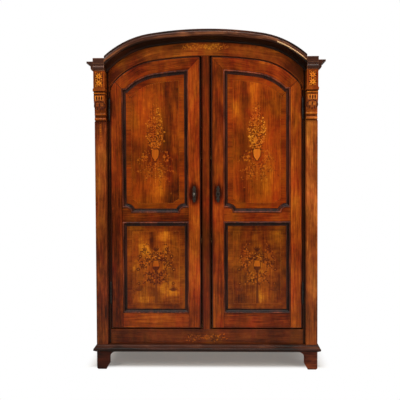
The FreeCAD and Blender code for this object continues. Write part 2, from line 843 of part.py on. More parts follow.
def back_boards():
    """Upright boards under the vault, with a narrow gap between each and the next."""
    above, above_arcs = vault("header", ("post_inner", "header_side_z"))
    corners = [("- post_inner", "back_bottom_height"), ("post_inner", "back_bottom_height")] + above
    arcs = {2 + place: arc for place, arc in enumerate(above_arcs)}
    outline = front_board("back_outline", corners, arcs, ("back_inside", "back"))
    count = SIZES["back_board_count"]
    gaps = []
    for place in range(1, count):
        gap = doc.addObject("Part::Box", "back_gap_%d" % place)
        middle = "-Places.post_inner + 2 * Places.post_inner * %d / Sizes.back_board_count" % place
        gap.setExpression("Placement.Base.x", middle + " - Sizes.back_board_gap / 2")
        bind(gap, "Placement.Base.y", "back_inside")
        bind(gap, "Length", "back_board_gap")
        bind(gap, "Width", "back_thick")
        bind(gap, "Height", "overall_height")
        gaps.append(gap)
    boards = cut_away("back_boards", outline, gaps)
    node(boards, "back_boards")


def centre_post():
    """The fixed post between the doors, with a mortise for the bolt of each lock."""
    corners = [
        ("- centre_half", "plinth_top"),
        ("centre_half", "plinth_top"),
        ("centre_half", "centre_post_top"),
        ("- centre_half", "centre_post_top"),
    ]
    arcs = {2: ("crown_radius", 1)}
    post = front_board("centre_post_board", corners, arcs, ("face", "frame_back"))
    depth = ("centre_half - mortise_depth", "centre_half")
    mortises = [
        board(
            side + "_mortise",
            across,
            ("bolt_front - mortise_clearance", "bolt_back + mortise_clearance"),
            ("bolt_bottom - mortise_clearance", "bolt_top + mortise_clearance"),
        )
        for side, across in (("right", depth), ("left", (negative(depth[1]), negative(depth[0]))))
    ]
    node(cut_away("centre_post", post, mortises), "centre_post")


def plinth_rail():
    rail = board(
        "plinth_rail",
        ("- post_inner", "post_inner"),
        ("face", "frame_back"),
        ("foot_height", "plinth_top"),
    )
    node(rail, "plinth_rail")


def base_moulding():
    """The moulding round the foot of the case, mitred at the front corners, and the ledge behind it."""
    profile = [
        ("half_body", "foot_height"),
        ("half_body + base_reach", "foot_height + base_drip"),
        ("half_body + base_reach", "foot_height + base_drip + base_lip"),
        ("half_body + base_step_reach", "foot_height + base_step_height"),
        ("half_body + base_fillet_reach", "foot_height + base_fillet_height"),
        ("half_body", "base_top"),
    ]
    arcs = {2: ("base_bead_radius", 1), 4: ("base_cove_radius", -1)}
    path = [
        ("half_body", "back"),
        ("half_body", "pilaster_front"),
        ("- half_body", "pilaster_front"),
        ("- half_body", "back"),
    ]
    moulding = swept(
        "base_run",
        ("XZ_Plane", negative("back"), profile, arcs, True),
        ("XY_Plane", "foot_height", path, {}, False),
        "Right corner",
    )
    ledge = board(
        "base_ledge",
        ("- half_body", "half_body"),
        ("pilaster_front", "face"),
        ("foot_height", "base_top"),
    )
    node(joined("base_moulding", [moulding, ledge]), "base_moulding")


def foot_outline(outer, way, inner_start):
    """A bracket foot's outline from its outer edge; way is a function that steps inwards."""
    if inner_start:
        outside = [(way(outer, "foot_thick"), "foot_height"), (way(outer, "foot_thick"), "0")]
    else:
        outside = [(outer, "foot_height"), (outer, "foot_round"), (way(outer, "foot_round"), "0")]
    inside = [
        (way(outer, "foot_sole"), "0"),
        (way(outer, "foot_width"), "foot_toe_height"),
        (way(outer, "foot_width"), "foot_height - foot_bracket_radius"),
        (way(outer, "foot_width + foot_bracket_radius"), "foot_height"),
    ]
    return outside + inside, len(outside) + 2


def front_foot(name):
    """A bracket foot: a front and a side bracket that meet at the corner."""
    foot_face = "pilaster_front + foot_setback"

    def leftwards(start, step):
        return start + " " + negative(step)

    def backwards(start, step):
        return start + " + " + step

    corners, bracket = foot_outline("half_body", leftwards, False)
    arcs = {bracket: ("foot_bracket_radius", 1)}
    front = front_board(name + "_front", corners, arcs, (foot_face, foot_face + " + foot_thick"))
    corners, bracket = foot_outline(foot_face, backwards, True)
    arcs = {bracket: ("foot_bracket_radius", -1)}
    side = side_board(name + "_side", corners, arcs, ("half_body - foot_thick", "half_body"))
    return joined(name, [front, side])


def back_foot(name):
    """The same foot turned round, flush with the back."""
    foot = front_foot(name + "_turned")
    mirror = doc.addObject("Part::Mirroring", name)
    mirror.Source = foot
    mirror.Normal = Vector(0, 1, 0)
    middle = "(Places.back + Places.pilaster_front + Sizes.foot_setback) / 2"
    mirror.setExpression("Base.y", middle)
    return mirror


def side_rail(name, bottom, top):
    depth = ("front_post_back", "back_post_front")
    return board(name, ("side_rail_inner", "half_body"), depth, (bottom, top))


def side_rails(name):
    """The rails that join a front post to a back post."""
    return group(name, [
        side_rail(name + "_bottom", "foot_height", "foot_height + side_bottom_rail_height"),
        side_rail(
            name + "_middle",
            "side_middle_rail_level",
            "side_middle_rail_level + side_middle_rail_height",
        ),
        side_rail(name + "_top", "post_top - side_top_rail_height", "post_top"),
    ])


def side_panels(name):
    """Two panels between the rails of a side."""
    levels = {
        "lower": ("foot_height + side_bottom_rail_height", "side_middle_rail_level"),
        "upper": ("side_middle_rail_level + side_middle_rail_height", "post_top - side_top_rail_height"),
    }
    return group(name, [
        board(
            name + "_" + level,
            ("side_panel_inner", "side_panel_outer"),
            ("front_post_back", "back_post_front"),
            heights,
        )
        for level, heights in levels.items()
    ])


def notched_board(label, clearance, front, back, top, thick):
    """A level board that reaches past the posts to the side rails, notched round the posts."""
    rail = "side_rail_inner" + clearance
    post = "post_inner" + clearance
    right = [
        (post, "back_inside" + clearance),
        (post, back),
        (rail, back),
        (rail, front[-1]),
    ]
    if len(front) > 1:
        right += [(post, front[-1]), (post, front[0])]
    left = [(negative(across), deep) for across, deep in reversed(right)]
    node(plan_board(label, right + left, {}, (top + " - " + thick, top)), label)


def shelves():
    """The bottom board and two shelves, with the cleats that carry the shelves."""
    notched_board("bottom_board", "", ["frame_back", "front_post_back"], "back_post_front",
                  "plinth_top", "bottom_board_thick")
    cleats = []
    for label, height in (("lower_shelf", "lower_shelf_height"), ("upper_shelf", "upper_shelf_height")):
        notched_board(label, " - shelf_clearance", ["face + shelf_setback"],
                      "back_post_front - shelf_clearance", height, "shelf_thick")
        under = height + " - shelf_thick"
        cleat = board(
            label + "_cleat",
            ("side_rail_inner - cleat_width", "side_rail_inner"),
            ("front_post_back", "back_post_front"),
            (under + " - cleat_height", under),
        )
        cleats += [cleat, mirrored(label + "_left_cleat", cleat)]
    node(group("shelf_cleats", cleats), "shelf_cleats")


# ------------------------------------------------------------------------ the doors
# Each maker builds the right-hand piece, and both_sides mirrors it for the left door.

def hinge_stile(name):
    """The stile at the hinges, mitred into the top rail at the shoulder."""
    corners = [
        ("hinge_stile_inner", "door_bottom"),
        ("door_outer", "door_bottom"),
        ("door_outer", "shoulder_z"),
        ("mitre_x", "mitre_z"),
        ("hinge_stile_inner", "ear_level"),
    ]
    return front_board(name, corners, {2: ("door_shoulder_r", 1)}, ("face", "door_back"))


def keyhole(name, front, back):
    """A round hole with a slot under it."""
    hole = rod(name + "_round", "keyhole_radius", "key_x", (front, back), "lock_height")
    slot = board(
        name + "_slot",
        ("key_x - slot_half", "key_x + slot_half"),
        (front, back),
        ("lock_height - keyhole_slot_drop", "lock_height"),
    )
    return joined(name, [hole, slot])


def lock_stile(name):
    """The stile at the centre post, mitred into the top rail and let in for the lock."""
    corners = [
        ("door_inner", "door_bottom"),
        ("lock_stile_inner", "door_bottom"),
        ("lock_stile_inner", "rail_lock_z"),
        ("door_inner", "lock_stile_top"),
    ]
    stile = front_board(name + "_board", corners, {}, ("face", "door_back"))
    reach = "lock_case_half_height + lock_case_clearance"
    room = board(
        name + "_lock_room",
        ("door_inner", "lock_case_end + lock_case_clearance"),
        ("lock_case_front", "door_back"),
        ("lock_height " + negative(reach), "lock_height + " + reach),
    )
    return cut_away(name, stile, [room, keyhole(name + "_keyhole", "face", "lock_case_front")])


def top_rail(name):
    """The arched rail, with an ear at the hinge side where the panel's shoulder is square."""
    corners = [
        ("lock_stile_inner", "rail_lock_z"),
        ("rail_crown_end_x", "rail_crown_end_z"),
        ("ear_inner_x", "ear_level"),
        ("hinge_stile_inner", "ear_level"),
        ("mitre_x", "mitre_z"),
        ("door_haunch_end_x", "door_haunch_end_z"),
        ("door_crown_end_x", "door_crown_end_z"),
        ("door_inner", "lock_stile_top"),
    ]
    arcs = {
        0: ("rail_crown_r", -1),
        1: ("rail_haunch_r", -1),
        4: ("door_shoulder_r", 1),
        5: ("door_haunch_r", 1),
        6: ("door_crown_r", 1),
    }
    return front_board(name, corners, arcs, ("face", "door_back"))


def notch_corners(gap):
    """The foot of the upper opening from the lock side: a step and a quarter round at each end."""
    inner = "lock_stile_inner" + gap
    outer = "hinge_stile_inner" + gap.replace("+", "-")
    foot = "upper_open_bottom" + gap
    step = foot + " + notch_radius"
    corners = [
        (inner, step),
        (inner + " + notch_step", step),
        (inner + " + notch_step + notch_radius", foot),
        (outer + " - notch_step - notch_radius", foot),
        (outer + " - notch_step", step),
        (outer, step),
    ]
    return corners, {1: ("notch_radius", -1), 3: ("notch_radius", -1)}


def mid_rail(name):
    """The rail between the panels, raised in a quarter round at each end."""
    top, top_arcs = notch_corners("")
    corners = top[::-1] + [("lock_stile_inner", "lower_open_top"), ("hinge_stile_inner", "lower_open_top")]
    last = len(top) - 2
    arcs = {last - place: (radius, -turn) for place, (radius, turn) in top_arcs.items()}
    return front_board(name, corners, arcs, ("face", "door_back"))


def bottom_rail(name):
    return board(
        name,
        ("lock_stile_inner", "hinge_stile_inner"),
        ("face", "door_back"),
        ("door_bottom", "lower_open_bottom"),
    )


def upper_panel(name):
    """The arched panel with notched lower corners."""
    corners, arcs = notch_corners(" + panel_clearance")
    first = len(corners)
    corners += [
        ("hinge_stile_inner - panel_clearance", "ear_level - panel_clearance"),
        ("panel_ear_x", "ear_level - panel_clearance"),
        ("panel_crown_end_x", "panel_crown_end_z"),
        ("panel_lock_x", "panel_lock_z"),
    ]
    arcs[first + 1] = ("panel_haunch_r", 1)
    arcs[first + 2] = ("panel_crown_r", 1)
    return front_board(name, corners, arcs, ("panel_front", "panel_back"))


def lower_panel(name):
    return board(
        name,
        ("lock_stile_inner + panel_clearance", "hinge_stile_inner - panel_clearance"),
        ("panel_front", "panel_back"),
        ("lower_open_bottom + panel_clearance", "lower_open_top - panel_clearance"),
    )


def moulding_run(name, level, corners, arcs, closed, transition):
    """A bolection moulding along an opening: ridge, flat and bevel, from the stile inwards.

    The path starts at the hinge side, at this level.
    """
    cove_front = "face + moulding_bead_drop"
    heel = "hinge_stile_inner - moulding_width"
    profile = [
        ("hinge_stile_inner", "panel_front"),
        ("hinge_stile_inner", "face"),
        ("bead_ridge_x", "face - moulding_bead_rise"),
        ("hinge_stile_inner - moulding_bead", cove_front),
        ("hinge_stile_inner - moulding_bead - moulding_fillet", cove_front),
        (heel, "panel_front - moulding_heel"),
        (heel, "panel_front"),
    ]
    path = [("hinge_stile_inner", level)] + corners
    path_arcs = {1 + place: arc for place, arc in arcs.items()}
    run = doc.addObject("Part::Sweep", name)
    run.Sections = [free_sketch(name + "_profile", Rotation(), "z", level, profile, {})]
    run.Spine = (free_sketch(name + "_path", UPRIGHT, "y", "face", path, path_arcs, closed), [])
    run.Solid = True
    run.Transition = transition
    return run


def upper_moulding(name):
    """Two runs, over the arch and round the notched foot, mitred where they meet at the lock stile."""
    over = [
        ("hinge_stile_inner", "ear_level"),
        ("ear_inner_x", "ear_level"),
        ("rail_crown_end_x", "rail_crown_end_z"),
        ("door_inner", "rail_door_z"),
    ]
    over_arcs = {1: ("rail_haunch_r", 1), 2: ("rail_crown_r", 1)}
    arch = moulding_run(name + "_over", "upper_middle", over, over_arcs, False, "Round corner")
    foot, foot_arcs = notch_corners("")
    last = len(foot) - 2
    under_arcs = {last - place: (radius, -turn) for place, (radius, turn) in foot_arcs.items()}
    under = foot[::-1] + [("lock_stile_inner", "opening_apex")]
    round_foot = moulding_run(name + "_under", "upper_middle", under, under_arcs, False, "Right corner")
    mitre = [("lock_stile_inner", "rail_lock_z"), ("lock_stile_inner + moulding_width", "lock_mitre_z")]
    stile_side = mitre + [("0", "lock_mitre_z"), ("0", "opening_apex"),
                          ("lock_stile_inner", "opening_apex")]
    rail_side = mitre[::-1] + [("lock_stile_inner", "opening_apex"),
                               ("lock_stile_inner + moulding_width", "opening_apex")]
    depth = ("pilaster_front", "panel_front")
    return group(name, [
        cut_away(name + "_rail", arch, [front_board(name + "_stile_side", stile_side, {}, depth)]),
        cut_away(name + "_stile", round_foot, [front_board(name + "_rail_side", rail_side, {}, depth)]),
    ])


def lower_moulding(name):
    corners = [
        ("hinge_stile_inner", "lower_open_top"),
        ("lock_stile_inner", "lower_open_top"),
        ("lock_stile_inner", "lower_open_bottom"),
        ("hinge_stile_inner", "lower_open_bottom"),
    ]
    return moulding_run(name, "lower_middle", corners, {}, True, "Right corner")


def escutcheon(name):
    """A lobed keyhole plate."""
    right = [
        ("escutcheon_lobe", "escutcheon_lobe_level"),
        ("escutcheon_waist", "escutcheon_waist_level"),
        ("escutcheon_half_width", "escutcheon_belly_level"),
    ]
    upper = [("key_x", "lock_height + escutcheon_half_height")]
    upper += [("key_x + " + across, "lock_height + " + up) for across, up in right]
    lower = [("key_x + " + across, "lock_height - " + up) for across, up in reversed(right)]
    lower += [("key_x", "lock_height - escutcheon_half_height")]
    half = upper + lower
    other = [(across.replace("+", "-"), up) for across, up in reversed(half[1:-1])]
    plate = front_board(name + "_plate", half + other, {}, ("face - escutcheon_thick", "face"))
    return cut_away(name, plate, [keyhole(name + "_keyhole", "face - escutcheon_thick", "face")])


def lock_case(name):
    """A mortised lock case: a channel for the bolt, a room for the key's bit and a bearing bore."""
    case = board(
        name + "_block",
        ("door_inner", "lock_case_end"),
        ("lock_case_front", "door_back"),
        ("lock_height - lock_case_half_height", "lock_height + lock_case_half_height"),
    )
    channel = board(
        name + "_channel",
        ("door_inner", "door_inner + bolt_tip_inset + bolt_length + bolt_run_out"),
        ("bolt_front - bolt_clearance", "bolt_back + bolt_clearance"),
        ("bolt_bottom - bolt_clearance", "bolt_top + bolt_clearance"),
    )
    inside = ("lock_case_front + lock_wall", "door_back - lock_wall")
    room = board(
        name + "_room",
        ("key_x - key_room", "key_x + key_room"),
        inside,
        ("lock_height - key_room", "lock_height + key_room"),
    )
    bearing = rod(
        name + "_bearing",
        "key_shaft_radius + key_clearance",
        "key_x",
        ("lock_case_front", "lock_case_front + lock_wall"),
        "lock_height",
    )
    slot = board(
        name + "_slot",
        ("key_x - slot_half", "key_x + slot_half"),
        ("lock_case_front", "lock_case_front + lock_wall"),
        ("lock_height - key_room", "lock_height"),
    )
    return cut_away(name, case, [channel, room, bearing, slot])


def lock_bolt(name):
    return board(
        name,
        ("door_inner + bolt_tip_inset", "door_inner + bolt_tip_inset + bolt_length"),
        ("bolt_front", "bolt_back"),
        ("bolt_bottom", "bolt_top"),
    )


def key(name):
    """A key with a ring bow, standing in its lock with the bit downwards."""
    bow_y = "face - key_stem - key_bow_radius"
    ring = ("key_x - bow_half", "key_x + bow_half")
    bow = cut_away(
        name + "_bow",
        rod(name + "_bow_disc", "key_bow_radius", ring, bow_y, "lock_height"),
        [rod(name + "_bow_hole", "key_bow_hole_radius", ring, bow_y, "lock_height")],
    )
    stem = rod(
        name + "_stem",
        "key_shaft_radius",
        "key_x",
        ("face - key_stem - key_bow_sink", "face + key_reach"),
        "lock_height",
    )
    bit = board(
        name + "_bit",
        ("key_x - bit_half", "key_x + bit_half"),
        ("face + key_bit_start", "face + key_bit_start + key_bit_width"),
        ("lock_height - key_bit_drop", "lock_height"),
    )
    return joined(name, [stem, bow, bit])


# ---------------------------------------------------------------------- the hinges

def finial(up):
    """The steeple end of a barrel, from its tip on the axis to the barrel's edge."""
    sign = "+ " if up else "- "
    end = sign + "hinge_half_length"
    return [("0", end + " " + sign + "hinge_finial_length"), ("hinge_radius", end)]


def hinge_leaf(name, x, level, z):
    return board(
        name,
        x,
        ("hinge_y + hinge_leaf_start", "hinge_y + hinge_leaf_start + hinge_leaf_depth"),
        (level + " " + z[0], level + " " + z[1]),
    )


def hinge_pins(name):
    """The halves of the hinges on the post: lower barrel, pin, finial and leaf."""
    halves = []
    for place, level in (("lower", "lower_hinge_level"), ("upper", "upper_hinge_level")):
        corners = finial(False) + [
            ("hinge_radius", "- hinge_half_gap"),
            ("hinge_pin_radius", "- hinge_half_gap"),
            ("hinge_pin_radius", "hinge_pin_length"),
            ("0", "hinge_pin_length"),
        ]
        label = "%s_%s" % (name, place)
        barrel = turned(label + "_barrel", corners, "hinge_x", "hinge_y", level)
        leaf = hinge_leaf(
            label + "_leaf",
            ("post_inner - hinge_leaf_thick", "post_inner"),
            level,
            ("- hinge_half_length + hinge_leaf_inset", "- hinge_half_gap - hinge_leaf_inset"),
        )
        halves.append(joined(label, [barrel, leaf]))
    return group(name, halves)


def hinge_leaves(name):
    """The halves of the hinges on the door: bored upper barrel, finial and leaf."""
    halves = []
    for place, level in (("lower", "lower_hinge_level"), ("upper", "upper_hinge_level")):
        corners = finial(True) + [
            ("hinge_radius", "hinge_half_gap"),
            ("hinge_bore_radius", "hinge_half_gap"),
            ("hinge_bore_radius", "hinge_pin_length + hinge_pin_head_gap"),
            ("0", "hinge_pin_length + hinge_pin_head_gap"),
        ]
        label = "%s_%s" % (name, place)
        barrel = turned(label + "_barrel", corners, "hinge_x", "hinge_y", level)
        leaf = hinge_leaf(
            label + "_leaf",
            ("door_outer", "door_outer + hinge_leaf_thick"),
            level,
            ("+ hinge_half_gap + hinge_leaf_inset", "+ hinge_half_length - hinge_leaf_inset"),
        )
        halves.append(joined(label, [barrel, leaf]))
    return group(name, halves)


# --------------------------------------------------------------------- build it all

CASE_PAIRS = {
    "front_post": front_post,
    "back_post": back_post,
    "pilaster": pilaster,
    "console": console,
    "capital": capital,
    "side_cornice": side_cornice,
    "front_foot": front_foot,
    "back_foot": back_foot,
    "side_rails": side_rails,
    "side_panels": side_panels,
    "hinge_pins": hinge_pins,
}

CASE_SINGLES = [
    arched_cornice,
    arched_header,
    centre_post,
    plinth_rail,
    base_moulding,
    back_boards,
    roof_boards,
    shelves,
]

DOOR_PAIRS = {
    "door_hinge_stile": hinge_stile,
    "door_lock_stile": lock_stile,
    "door_top_rail": top_rail,
    "door_mid_rail": mid_rail,
    "door_bottom_rail": bottom_rail,
    "door_upper_panel": upper_panel,
    "door_lower_panel": lower_panel,
    "door_upper_moulding": upper_moulding,
    "door_lower_moulding": lower_moulding,
    "door_escutcheon": escutcheon,
    "door_lock_case": lock_case,
    "door_hinge_leaves": hinge_leaves,
    "lock_bolt": lock_bolt,
}

for label, maker in CASE_PAIRS.items():
    both_sides(label, maker)
for maker in CASE_SINGLES:
    maker()
for label, maker in DOOR_PAIRS.items():
    both_sides(label, maker)
node(mirrored("key", key("key_right_hand")), "key")

doc.recompute()

# ------------------------------------------------------------------ check and write

failed = [thing.Name for thing in doc.Objects if {"Invalid", "Error"} & set(thing.State)]
for thing in NODES:
    if thing.Shape.isNull() or not thing.Shape.isValid():
        failed.append(thing.Label)
if failed:
    raise RuntimeError("these objects failed: " + ", ".join(sorted(set(failed))))

os.makedirs("parts", exist_ok=True)
for thing in NODES:
    thing.Shape.exportStep("parts/" + thing.Label + ".step")
    print("%-32s %d solids %14.1f mm3" % (thing.Label, len(thing.Shape.Solids), thing.Shape.Volume))
print(len(NODES), "nodes")
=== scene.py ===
"""Looks of an arched two-door wardrobe in veneered walnut with ebonised mouldings and marquetry."""
import json
import math

import bmesh
import bpy
import numpy as np
from mathutils import Matrix

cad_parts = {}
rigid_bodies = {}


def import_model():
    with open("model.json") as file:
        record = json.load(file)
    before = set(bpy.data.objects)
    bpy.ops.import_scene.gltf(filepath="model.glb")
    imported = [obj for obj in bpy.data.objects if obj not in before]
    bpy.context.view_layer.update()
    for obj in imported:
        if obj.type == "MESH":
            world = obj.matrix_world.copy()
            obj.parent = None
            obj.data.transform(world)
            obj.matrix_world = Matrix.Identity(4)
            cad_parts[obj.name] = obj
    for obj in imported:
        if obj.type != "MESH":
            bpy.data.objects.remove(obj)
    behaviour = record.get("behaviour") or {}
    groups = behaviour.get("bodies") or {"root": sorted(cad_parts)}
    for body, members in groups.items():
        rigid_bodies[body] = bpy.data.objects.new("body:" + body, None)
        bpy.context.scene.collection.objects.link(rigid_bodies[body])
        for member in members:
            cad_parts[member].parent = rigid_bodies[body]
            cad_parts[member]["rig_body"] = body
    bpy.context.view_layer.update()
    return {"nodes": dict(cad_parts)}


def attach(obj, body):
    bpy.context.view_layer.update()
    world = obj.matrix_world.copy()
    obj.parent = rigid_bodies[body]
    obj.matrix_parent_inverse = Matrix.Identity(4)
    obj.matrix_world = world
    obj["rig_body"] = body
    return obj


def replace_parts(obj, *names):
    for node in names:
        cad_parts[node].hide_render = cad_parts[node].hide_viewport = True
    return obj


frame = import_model()

# ------------------------------------------------------------------- sizes in metres

FACE = -0.222
PILASTER_FRONT = -0.247
PANEL_FRONT = -0.212

CROWN_CENTRE = np.array([0.0, -0.30693])
CROWN_RADIUS = 2.25193
HAUNCH_CENTRE = np.array([0.26995, 1.52118])
HAUNCH_RADIUS = 0.404
TANGENT = math.degrees(math.atan2(HAUNCH_CENTRE[1] - CROWN_CENTRE[1], HAUNCH_CENTRE[0]))
RAIL_INSET = 0.081
EAR_LEVEL = 1.74902

DOOR_GAP = 0.004
DOOR_LOCK_EDGE = 0.0335
DOOR_HINGE_EDGE = 0.596
DOOR_FOOT = 0.255
LOCK_STILE_INNER = 0.1085
HINGE_STILE_INNER = 0.523
UPPER_FOOT = 0.977
NOTCH_STEP = 0.0245
NOTCH_RADIUS = 0.033
LOWER_FOOT = 0.3485
LOWER_HEAD = 0.920
PANEL_MIDDLE = (LOCK_STILE_INNER + HINGE_STILE_INNER) / 2
MOULDING_WIDTH = 0.024

CORNICE_CROWN_CENTRE = np.array([0.0, -0.09528])
CORNICE_CROWN_RADIUS = 2.19028
CORNICE_HAUNCH_CENTRE = np.array([0.254, 1.5323])
CORNICE_HAUNCH_RADIUS = 0.543
CORNICE_END = 0.6155

CONSOLE_MIDDLE = 0.6495
DIE_FRONT = -0.302
SCROLL_RADIUS = 0.072
SCROLL_FOOT = -0.264
SCROLL_MIDDLE = -0.280
SCROLL_HEAD = -0.296
SCROLL_BOTTOM = 1.595
SCROLL_TOP = 1.702

HINGE_X = 0.598
HINGE_Y = -0.229
HINGE_HALF = 0.062
HINGE_LEVELS = (0.477, 1.620)
KEY_X = 0.074
LOCK_HEIGHT = 1.092

BACK_BOARD_WIDTH = 0.150

SIDES = {"left": -1.0, "right": 1.0}

# ------------------------------------------------------------------- meshes

SAME_POINT = 1e-6
SHARP_ANGLE = math.radians(35)
FLAT_ANGLE = math.radians(0.6)
WORN_ANGLE = math.radians(30)
GRAIN_SHIFT = np.array([1.7, 0.93, 0.41])
FALL_LEVEL = 1.0


def new_piece(name, points, faces, material, body):
    """A mesh from arrays of points and faces, smooth but for edges sharper than the sharp angle."""
    mesh = bpy.data.meshes.new(name)
    mesh.from_pydata(points.reshape(-1, 3), [], [list(face) for face in faces])
    mesh.shade_smooth()
    mesh.set_sharp_from_angle(angle=SHARP_ANGLE)
    mesh.materials.append(material)
    piece = bpy.data.objects.new(name, mesh)
    bpy.context.scene.collection.objects.link(piece)
    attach(piece, body)
    return piece


def grid_faces(rows, columns, close_rows, close_columns):
    """Quads of a grid of rows by columns; a closed direction joins its last line to its first."""
    row = np.arange(rows if close_rows else rows - 1)[:, None]
    column = np.arange(columns if close_columns else columns - 1)[None, :]
    next_row = (row + 1) % rows
    next_column = (column + 1) % columns
    corners = [
        row * columns + column,
        row * columns + next_column,
        next_row * columns + next_column,
        next_row * columns + column,
    ]
    return np.stack(corners, axis=-1).reshape(-1, 4)


def outward(piece):
    """Turns every face of a closed piece outwards."""
    shell = bmesh.new()
    shell.from_mesh(piece.data)
    bmesh.ops.remove_doubles(shell, verts=shell.verts, dist=SAME_POINT)
    bmesh.ops.recalc_face_normals(shell, faces=shell.faces)
    shell.to_mesh(piece.data)
    shell.free()
    return piece


def give_vectors(mesh, name, values):
    """Stores one vector for each point of a mesh under a name."""
    stored = mesh.attributes.new(name, "FLOAT_VECTOR", "POINT")
    stored.data.foreach_set("vector", np.ascontiguousarray(values, np.float32).ravel())


def give_numbers(mesh, name, values):
    """Stores one number for each point of a mesh under a name."""
    stored = mesh.attributes.new(name, "FLOAT", "POINT")
    stored.data.foreach_set("value", np.ascontiguousarray(values, np.float32).ravel())


def set_tone(mesh, tone):
    """Replaces the tone that a dressed mesh carries at its points."""
    mesh.attributes["tone"].data.foreach_set("value", tone.astype(np.float32))


def corners_of(mesh):
    """The mesh's points as an array of rows."""
    points = np.empty(len(mesh.vertices) * 3, np.float32)
    mesh.vertices.foreach_get("co", points)
    return points.reshape(-1, 3).astype(float)


def arch_run(points, crown_centre, crown_radius, haunch_centre, haunch_radius):
    """Along and across an arch: arc length from the crown and height over the curve.

    Over the crown the point's angle about the crown's centre times its radius gives the length, and
    past the tangent point the angle about the haunch's centre times the haunch's radius adds to it.
    """
    side = np.where(points[:, 0] < 0, -1.0, 1.0)
    x = np.abs(points[:, 0])
    z = points[:, 2]
    tangent = math.atan2(haunch_centre[0], haunch_centre[1] - crown_centre[1])
    from_crown = np.hypot(x - crown_centre[0], z - crown_centre[1])
    crown_angle = np.arctan2(x - crown_centre[0], z - crown_centre[1])
    from_haunch = np.hypot(x - haunch_centre[0], z - haunch_centre[1])
    haunch_angle = np.arctan2(x - haunch_centre[0], z - haunch_centre[1])
    on_crown = crown_angle < tangent
    length = np.where(
        on_crown,
        crown_radius * crown_angle,
        crown_radius * tangent + haunch_radius * (haunch_angle - tangent),
    )
    height = np.where(on_crown, from_crown - crown_radius, from_haunch - haunch_radius)
    return side * length, height


def grain_along(points, way):
    """Wood coordinates: along the grain, across it and into the board."""
    x, y, z = points.T
    if way == "upright":
        return np.stack([z, x, y], axis=-1)
    if way == "level":
        return np.stack([x, z, y], axis=-1)
    if way == "deep":
        return np.stack([y, z, x], axis=-1)
    if way == "deep flat":
        return np.stack([y, x, z], axis=-1)
    if way == "door arch":
        along, across = arch_run(points, CROWN_CENTRE, CROWN_RADIUS, HAUNCH_CENTRE, HAUNCH_RADIUS)
        return np.stack([along, across, y], axis=-1)
    along, across = arch_run(
        points,
        CORNICE_CROWN_CENTRE,
        CORNICE_CROWN_RADIUS,
        CORNICE_HAUNCH_CENTRE,
        CORNICE_HAUNCH_RADIUS,
    )
    return np.stack([along, across, y], axis=-1)


def dress(mesh, way, seed, tone=0.0, fall=0.0):
    """Gives a mesh its wood coordinates, shifted by the seed, and its tone, which may change with height.

    The tone at a point is the tone plus fall times the point's height over the fall level.
    """
    points = corners_of(mesh)
    give_vectors(mesh, "grain", grain_along(points, way) + GRAIN_SHIFT * seed)
    give_numbers(mesh, "tone", tone + fall * (points[:, 2] - FALL_LEVEL))


def eased(label, way, main, seed=1.0, tone=0.0, fall=0.0, width=0.0012, wear_and_painted_light=None, back=None):
    """A board's own shape with its sharp edges worn to a small round, as handling leaves them.

    The rounds take a finish of their own, which is wear on most boards and painted shade along the gaps on
    the doors' boards. Faces that look to the rear may carry a finish of their own.
    """
    source = frame["nodes"][label]
    shell = bmesh.new()
    shell.from_mesh(source.data)
    bmesh.ops.remove_doubles(shell, verts=shell.verts, dist=SAME_POINT)
    bmesh.ops.dissolve_limit(shell, angle_limit=FLAT_ANGLE, verts=shell.verts, edges=shell.edges)
    mesh = bpy.data.meshes.new(label + "_eased")
    shell.to_mesh(mesh)
    shell.free()
    mesh.shade_smooth()
    mesh.materials.clear()
    mesh.materials.append(main)
    mesh.materials.append(wear_and_painted_light or main)
    if back:
        mesh.materials.append(back)
        normals = np.empty(len(mesh.polygons) * 3, np.float32)
        mesh.polygons.foreach_get("normal", normals)
        rear = normals.reshape(-1, 3)[:, 1] > 0.5
        mesh.polygons.foreach_set("material_index", rear.astype(np.int32) * 2)
    dress(mesh, way, seed, tone, fall)
    piece = bpy.data.objects.new(label + "_eased", mesh)
    bpy.context.scene.collection.objects.link(piece)
    bevel = piece.modifiers.new("worn_edges", "BEVEL")
    bevel.width = width
    bevel.segments = 2
    bevel.limit_method = "ANGLE"
    bevel.angle_limit = WORN_ANGLE
    bevel.use_clamp_overlap = True
    bevel.material = 1
    flat = piece.modifiers.new("flat_faces", "WEIGHTED_NORMAL")
    flat.mode = "FACE_AREA"
    flat.weight = 100
    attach(piece, source["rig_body"])
    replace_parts(piece, label)
    return piece


# ------------------------------------------------------------------- outlines


def arc(centre, radius, start, end, steps):
    """Points on an arc from one angle to another, in degrees from the level."""
    angle = np.radians(np.linspace(start, end, steps))
    return centre + radius * np.stack([np.cos(angle), np.sin(angle)], axis=-1)


def run(start, end, steps):
    """Evenly spaced points on a straight line, without its end."""
    share = np.linspace(0, 1, steps, endpoint=False)[:, None]
    return np.array(start) * (1 - share) + np.array(end) * share


